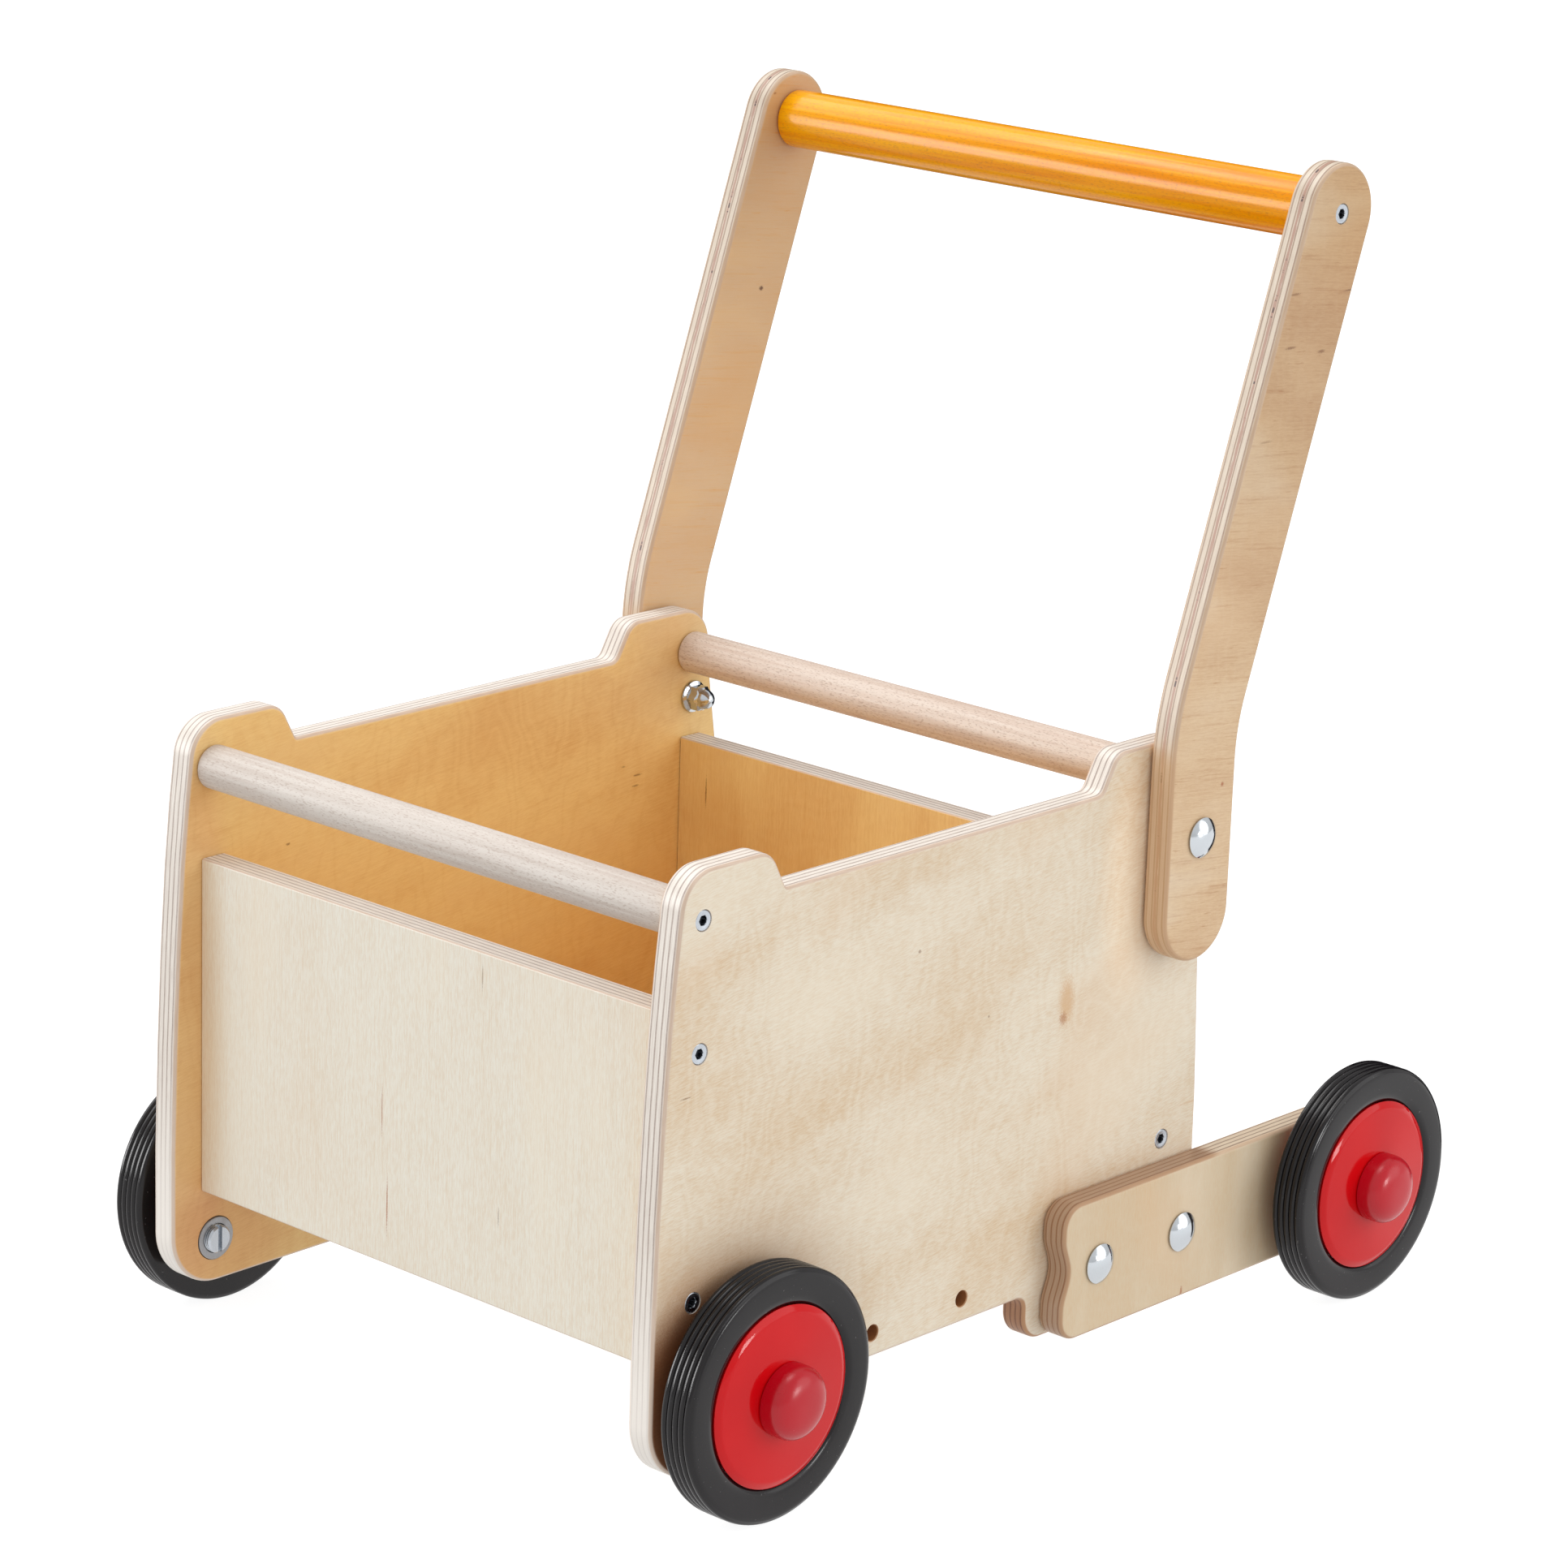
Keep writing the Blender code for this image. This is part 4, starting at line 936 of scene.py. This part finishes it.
# --- turned wood --------------------------------------------------------------------------------
def rod(node, material, shoulder, radius, ease, spigot=None):
    """A dowel with eased ends and either a screw hole or a spigot in each."""
    end = span(node, 0)[1]
    if spigot:
        bevel = 0.8
        half = [(end, 0.0), (end, spigot - bevel), (end - bevel, spigot), (shoulder, spigot)]
    else:
        half = [(end - 20.0, 0.0), (end - 20.0, PILOT_R), (end, PILOT_R)]
    curve = [(1.0 - math.cos(q), 1.0 - math.sin(q)) for q in arc(QUARTER, 5)]
    half += [(shoulder - ease * back, radius - ease * down) for back, down in curve]
    profile = half + [(-x, r) for x, r in reversed(half)]
    stand_in(turned("rod", centre(node), profile, 96, material), node)


DOWEL_R, DOWEL_EASE = 8.9, 1.2
rod("front_dowel", front_beech, span("front_dowel", 0)[1], DOWEL_R, DOWEL_EASE)
rod("rear_dowel", rear_beech, SIDE_IN - 0.3, DOWEL_R, DOWEL_EASE, spigot=6.0)
rod("handle_bar", orange, span("handle_bar", 0)[1], 12.3, 1.6)


# --- screws, bolts and nuts ---------------------------------------------------------------------
def wood_screw(node, side):
    """A countersunk screw: eased head, dished face, hexagon socket."""
    tip, face = from_middle(node)
    profile = [
        (face - 2.4, 0.0),
        (face - 2.2, 1.75, hexagon_reach),
        (face - 0.35, 1.8, hexagon_reach),
        (face - 0.12, 1.95, hexagon_reach),
        (face - 0.10, 2.5),
        (face, 2.9),
        (face, 3.7),
        (face - 0.18, 3.95),
        (face - 0.45, 4.0),
        (face - 2.5, 2.1),
        (tip + 4.0, 2.1),
        (tip, 0.0),
    ]
    at = centre(node)
    screw = turned("screw", at, facing(profile, side), 48, zinc)
    # the socket's faces get near-black steel as painted shade down in the socket
    screw.data.materials.append(socket_shade_steel)
    for polygon in screw.data.polygons:
        spot = polygon.center / MM
        if math.hypot(spot.y - at[0], spot.z - at[1]) < 1.9 and abs(spot.x) > face - 2.5:
            polygon.material_index = 1
    stand_in(screw, node)


def carriage_bolt(node, side):
    """A low dome on a square neck."""
    tip, crown = from_middle(node)
    high, dome, rim, neck, shank = 3.6, 3.0, 8.25, 2.95, 2.9
    ball = (rim * rim + dome * dome) / (2.0 * dome)
    profile = [(crown, 0.0)]
    for k in range(1, 13):
        r = rim * k / 12.0
        profile.append((crown - (ball - math.sqrt(ball * ball - r * r)), r))
    profile += [
        (crown - high + 0.25, rim),
        (crown - high, rim - 0.25),
        (crown - high, neck, square_reach),
        (crown - high - 3.4, neck, square_reach),
        (crown - high - 3.5, shank),
        (tip, shank),
    ]
    bolt = turned("bolt", centre(node), facing(profile, side), 64, chrome)
    stand_in(bolt, node)


def cap_nut(node, side):
    """A flanged hexagon nut with a closed dome."""
    tip, base = from_middle(node)
    bore, flats, ball = 3.3, 5.0, 4.4
    profile = [(base - 7.0, 0.0), (base - 7.0, bore), (base, bore)]
    profile += [(base, 6.9), (base - 0.5, 7.0), (base - 1.0, 6.8)]
    profile += [(base - 1.6, flats, hexagon_reach), (base - 5.9, flats, hexagon_reach), (base - 6.3, flats)]
    dome = base - 6.8
    profile += [(dome - (dome - tip) * math.sin(q), ball * math.cos(q)) for q in arc(QUARTER, 10)[:-1]]
    profile.append((tip, 0.0))
    nut = turned("nut", centre(node), facing(profile, side), 60, chrome)
    stand_in(nut, node)


# --- wheels -------------------------------------------------------------------------------------
RIBS = 5
RIB_SHARES = (-1.0, -0.92, -0.75, -0.45, 0.0, 0.45, 0.75, 0.92, 1.0)
RIB_HEIGHT, TREAD_CROWN = 1.3, 0.12


def tyre(place, label, side):
    """A tyre with half-round ribs round its tread and beaded walls."""
    node = f"tyre_{place}_{label}"
    inner, outer = from_middle(node)
    top = span(node, 2)[1] - AXLE_Z
    first, last = inner + 0.4, outer + 0.1
    land = (last - first) / RIBS
    tread = []
    for i in range(RIBS):
        for share in RIB_SHARES:
            x = first + land * (i + 0.5 + share / 2.0)
            crown = TREAD_CROWN * abs(2.0 * (x - first) / (last - first) - 1.0) ** 3
            tread.append((x, top - crown - RIB_HEIGHT * (1.0 - math.sqrt(1.0 - 0.98 * share * share))))
    near = [(inner + 0.5, 36.2), (inner + 0.05, 37.4), (inner, 40.0), (inner, 47.6), (inner + 0.1, 48.3)]
    far = [(outer + 0.35, 48.5), (outer + 0.6, 47.9), (outer + 0.7, 46.5), (outer + 0.7, 39.6)]
    far += [(outer + 0.45, 37.6), (outer - 0.4, 36.2)]
    seat = [(inner + 4.0, 34.6), (outer - 4.0, 34.6)]
    skin = facing(near + tread + far, side)
    body = turned(node, centre(node), skin, 128, tyre_rubber, bore=facing(seat, side), sharp=50.0)
    stand_in(body, node)


def disc(place, label, side):
    """A wheel disc with a raised rim, a gently coned face and a groove for the tyre's seat."""
    node = f"wheel_disc_{place}_{label}"
    inner, face = from_middle(node)
    out = face - 2.6
    rim = [
        (inner, 8.0),
        (inner, 35.9),
        (inner + 3.6, 34.3),
        (out - 4.0, 34.3),
        (out - 0.3, 35.7),
        (out + 0.15, 35.75),
        (out + 0.35, 35.5),
        (out + 1.15, 33.5),
        (out + 1.35, 33.0),
        (out + 1.45, 32.3),
        (out + 2.5, 15.6),
        (out + 2.6, 15.0),
        (out + 2.6, 8.0),
    ]
    bore = [(inner, 4.4), (out + 2.6, 4.4)]
    body = turned(node, centre(node), facing(rim, side), 128, red_disc, bore=facing(bore, side), sharp=40.0)
    stand_in(body, node)


def hub_cap(place, label, side):
    """A domed cap, hollow where the pin's end goes in."""
    node = f"hub_cap_{place}_{label}"
    base, crown = from_middle(node)
    bore, skirt, fullness = 4.3, 14.5, 0.68
    profile = [(base + 9.0, 0.0), (base + 9.0, bore), (base, bore), (base, skirt - 0.3), (base + 0.3, skirt)]
    rise, high = base + 4.6, crown - 0.9
    for q in arc(QUARTER, 20)[:-1]:
        profile.append((rise + (high - rise) * math.sin(q), skirt * math.cos(q) ** fullness))
    profile.append((high, 0.0))
    cap = turned(node, centre(node), facing(profile, side), 96, red_cap)
    stand_in(cap, node)


# --- brake --------------------------------------------------------------------------------------
def brake(label, side):
    """A flanged insert, and the slotted screw that turns in it."""
    node = "brake_insert_" + label
    at = centre(node)
    start, stop = from_middle(node)
    rows = [(start, 6.3), (start, 9.0), (start + 1.5, 9.0), (start + 1.5, 7.6), (stop, 7.6), (stop, 6.3)]
    flange = soften(rows, {1: 0.35}, 4)
    bore = [(start + 0.4, 6.05), (stop - 0.1, 6.05)]
    body = turned(node, at, facing(flange, side), 64, insert_steel, bore=facing(bore, side))
    stand_in(body, node)

    node = "brake_screw_" + label
    start, stop = from_middle(node)
    rows = [(start, 0.0), (start, 5.1), (start + 0.5, 5.6)]
    x, pitch, crest, root = start + 0.8, 1.0, 5.85, 5.3
    while x < stop - pitch:
        rows += [(x, crest), (x + 0.2, crest), (x + 0.5, root), (x + 0.7, root)]
        x += pitch
    rows += [(stop, 5.2), (stop, 0.0)]
    screw = turned(node, at, facing(rows, side), 64)
    x = sorted((side * (start - 1.0), side * (start + 1.9)))
    slot = block(x, (at[0] - 1.0, at[0] + 1.0), (at[1] - 8.0, at[1] + 8.0))
    stand_in(settled(screw, zinc, (slot,)), node)


for label, side in SIDES:
    for screw in ("bar_screw_", *SIDE_SCREWS):
        wood_screw(screw + label, side)
    for bolt in BOLTS:
        carriage_bolt(bolt + label, side)
        cap_nut(bolt.replace("bolt", "cap_nut") + label, side)
    for place in ("front", "rear"):
        tyre(place, label, side)
        disc(place, label, side)
        hub_cap(place, label, side)
        dress(f"axle_{place}_{label}", zinc)
    brake(label, side)
    dress("brake_pad_" + label, pad_rubber)
dress("floor_panel", floor_ply)


# --- floor, light and camera --------------------------------------------------------------------
def sheet(name, corners, material):
    """A flat staging piece from its millimetre corners."""
    mesh = bpy.data.meshes.new(name)
    mesh.from_pydata([Vector(v) * MM for v in corners], [], [(0, 1, 2, 3)])
    mesh.materials.append(material)
    obj = bpy.data.objects.new(name, mesh)
    bpy.context.scene.collection.objects.link(obj)
    return obj


def flat_card(x, y, z):
    """Corners of a level card."""
    return [(x[0], y[0], z), (x[1], y[0], z), (x[1], y[1], z), (x[0], y[1], z)]


def standing_card(start, stop, z):
    """Corners of an upright card over the line from start to stop."""
    return [(*start, z[0]), (*stop, z[0]), (*stop, z[1]), (*start, z[1])]


# name, corners, glow
CARDS = (
    ("dark_wall", standing_card((-1500, 1300), (350, 1300), (0, 1300)), 0.0),
    ("dark_ground", flat_card((-900, 230), (380, 1600), 1), 0.0),
    ("bright_cap", flat_card((200, 800), (-450, 150), 1800), 5.0),
    ("bright_bar", flat_card((-1080, -600), (-380, 180), 1800), 9.0),
    ("bright_side", standing_card((2400, 250), (2400, 750), (200, 620)), 16.0),
    ("bright_front", standing_card((-1900, -1300), (-700, -2100), (200, 1100)), 13.0),
)


def studio():
    """A bright pale floor under an even sky, and cards that only reflections see."""
    plain = {"Specular_IOR_Level": 0.0, "Emission_Color": WHITE}
    grey = (0.25, 0.25, 0.25, 1.0)
    pale = Graph("studio_floor", Base_Color=grey, Roughness=0.9, Emission_Strength=0.92, **plain)
    reach = 9000.0
    floor = sheet("floor", flat_card((-reach, reach), (-reach, reach), 0.0), pale.material)
    floor.visible_diffuse = floor.visible_shadow = False

    dark = (0.02, 0.02, 0.025, 1.0)
    for name, corners, glow in CARDS:
        finish = Graph("studio_" + name, Base_Color=dark, Roughness=1.0, Emission_Strength=glow, **plain)
        card = sheet(name, corners, finish.material)
        card.visible_camera = card.visible_diffuse = card.visible_shadow = False

    world = bpy.data.worlds.new("studio")
    world.use_nodes = True
    nodes, links = world.node_tree.nodes, world.node_tree.links
    source = nodes.new("ShaderNodeTexCoord")
    split = nodes.new("ShaderNodeSeparateXYZ")
    ramp = nodes.new("ShaderNodeMapRange")
    links.new(source.outputs["Generated"], split.inputs[0])
    links.new(split.outputs["Z"], ramp.inputs["Value"])
    for name, value in (("From Min", -0.4), ("From Max", 0.4), ("To Min", 0.66), ("To Max", 0.92)):
        ramp.inputs[name].default_value = value
    links.new(ramp.outputs["Result"], nodes["Background"].inputs["Strength"])
    nodes["Background"].inputs["Color"].default_value = WHITE
    bpy.context.scene.world = world
    bpy.context.scene.view_settings.view_transform = "Standard"


def sun(name, direction, strength, spread):
    """A distant soft light shining along direction; spread is its angle in degrees."""
    data = bpy.data.lights.new(name, "SUN")
    data.energy = strength
    data.angle = math.radians(spread)
    lamp = bpy.data.objects.new(name, data)
    lamp.rotation_mode = "QUATERNION"
    lamp.rotation_quaternion = Vector(direction).to_track_quat("-Z", "Y")
    bpy.context.scene.collection.objects.link(lamp)


# the camera's place in metres, its azimuth, elevation and roll in degrees, and its lens
EYE = (1.3717, -1.5134, 0.8085)
VIEW = (42.3245, 16.1134, 1.9001)
LENS = 120.30


def camera():
    """Three-quarter view from the front right, with the roll of a hand-levelled camera."""
    azimuth, elevation, roll = (math.radians(v) for v in VIEW)
    level_back = Vector((math.sin(azimuth), -math.cos(azimuth), 0.0))
    back = level_back * math.cos(elevation) + Vector((0.0, 0.0, math.sin(elevation)))
    level = Vector((math.cos(azimuth), math.sin(azimuth), 0.0))
    up = back.cross(level)
    right = level * math.cos(roll) + up * math.sin(roll)
    top = up * math.cos(roll) - level * math.sin(roll)
    data = bpy.data.cameras.new("camera")
    data.sensor_width = 36.0
    data.lens = LENS
    data.clip_end = 100.0
    eye = bpy.data.objects.new("camera", data)
    turn = Matrix((right, top, back)).transposed().to_4x4()
    eye.matrix_world = Matrix.Translation(EYE) @ turn
    bpy.context.scene.collection.objects.link(eye)
    bpy.context.scene.camera = eye


studio()
sun("key", (0.62, 0.14, -0.77), 1.5, 50.0)
sun("fill", (-0.80, -0.52, -0.30), 0.5, 40.0)
camera()
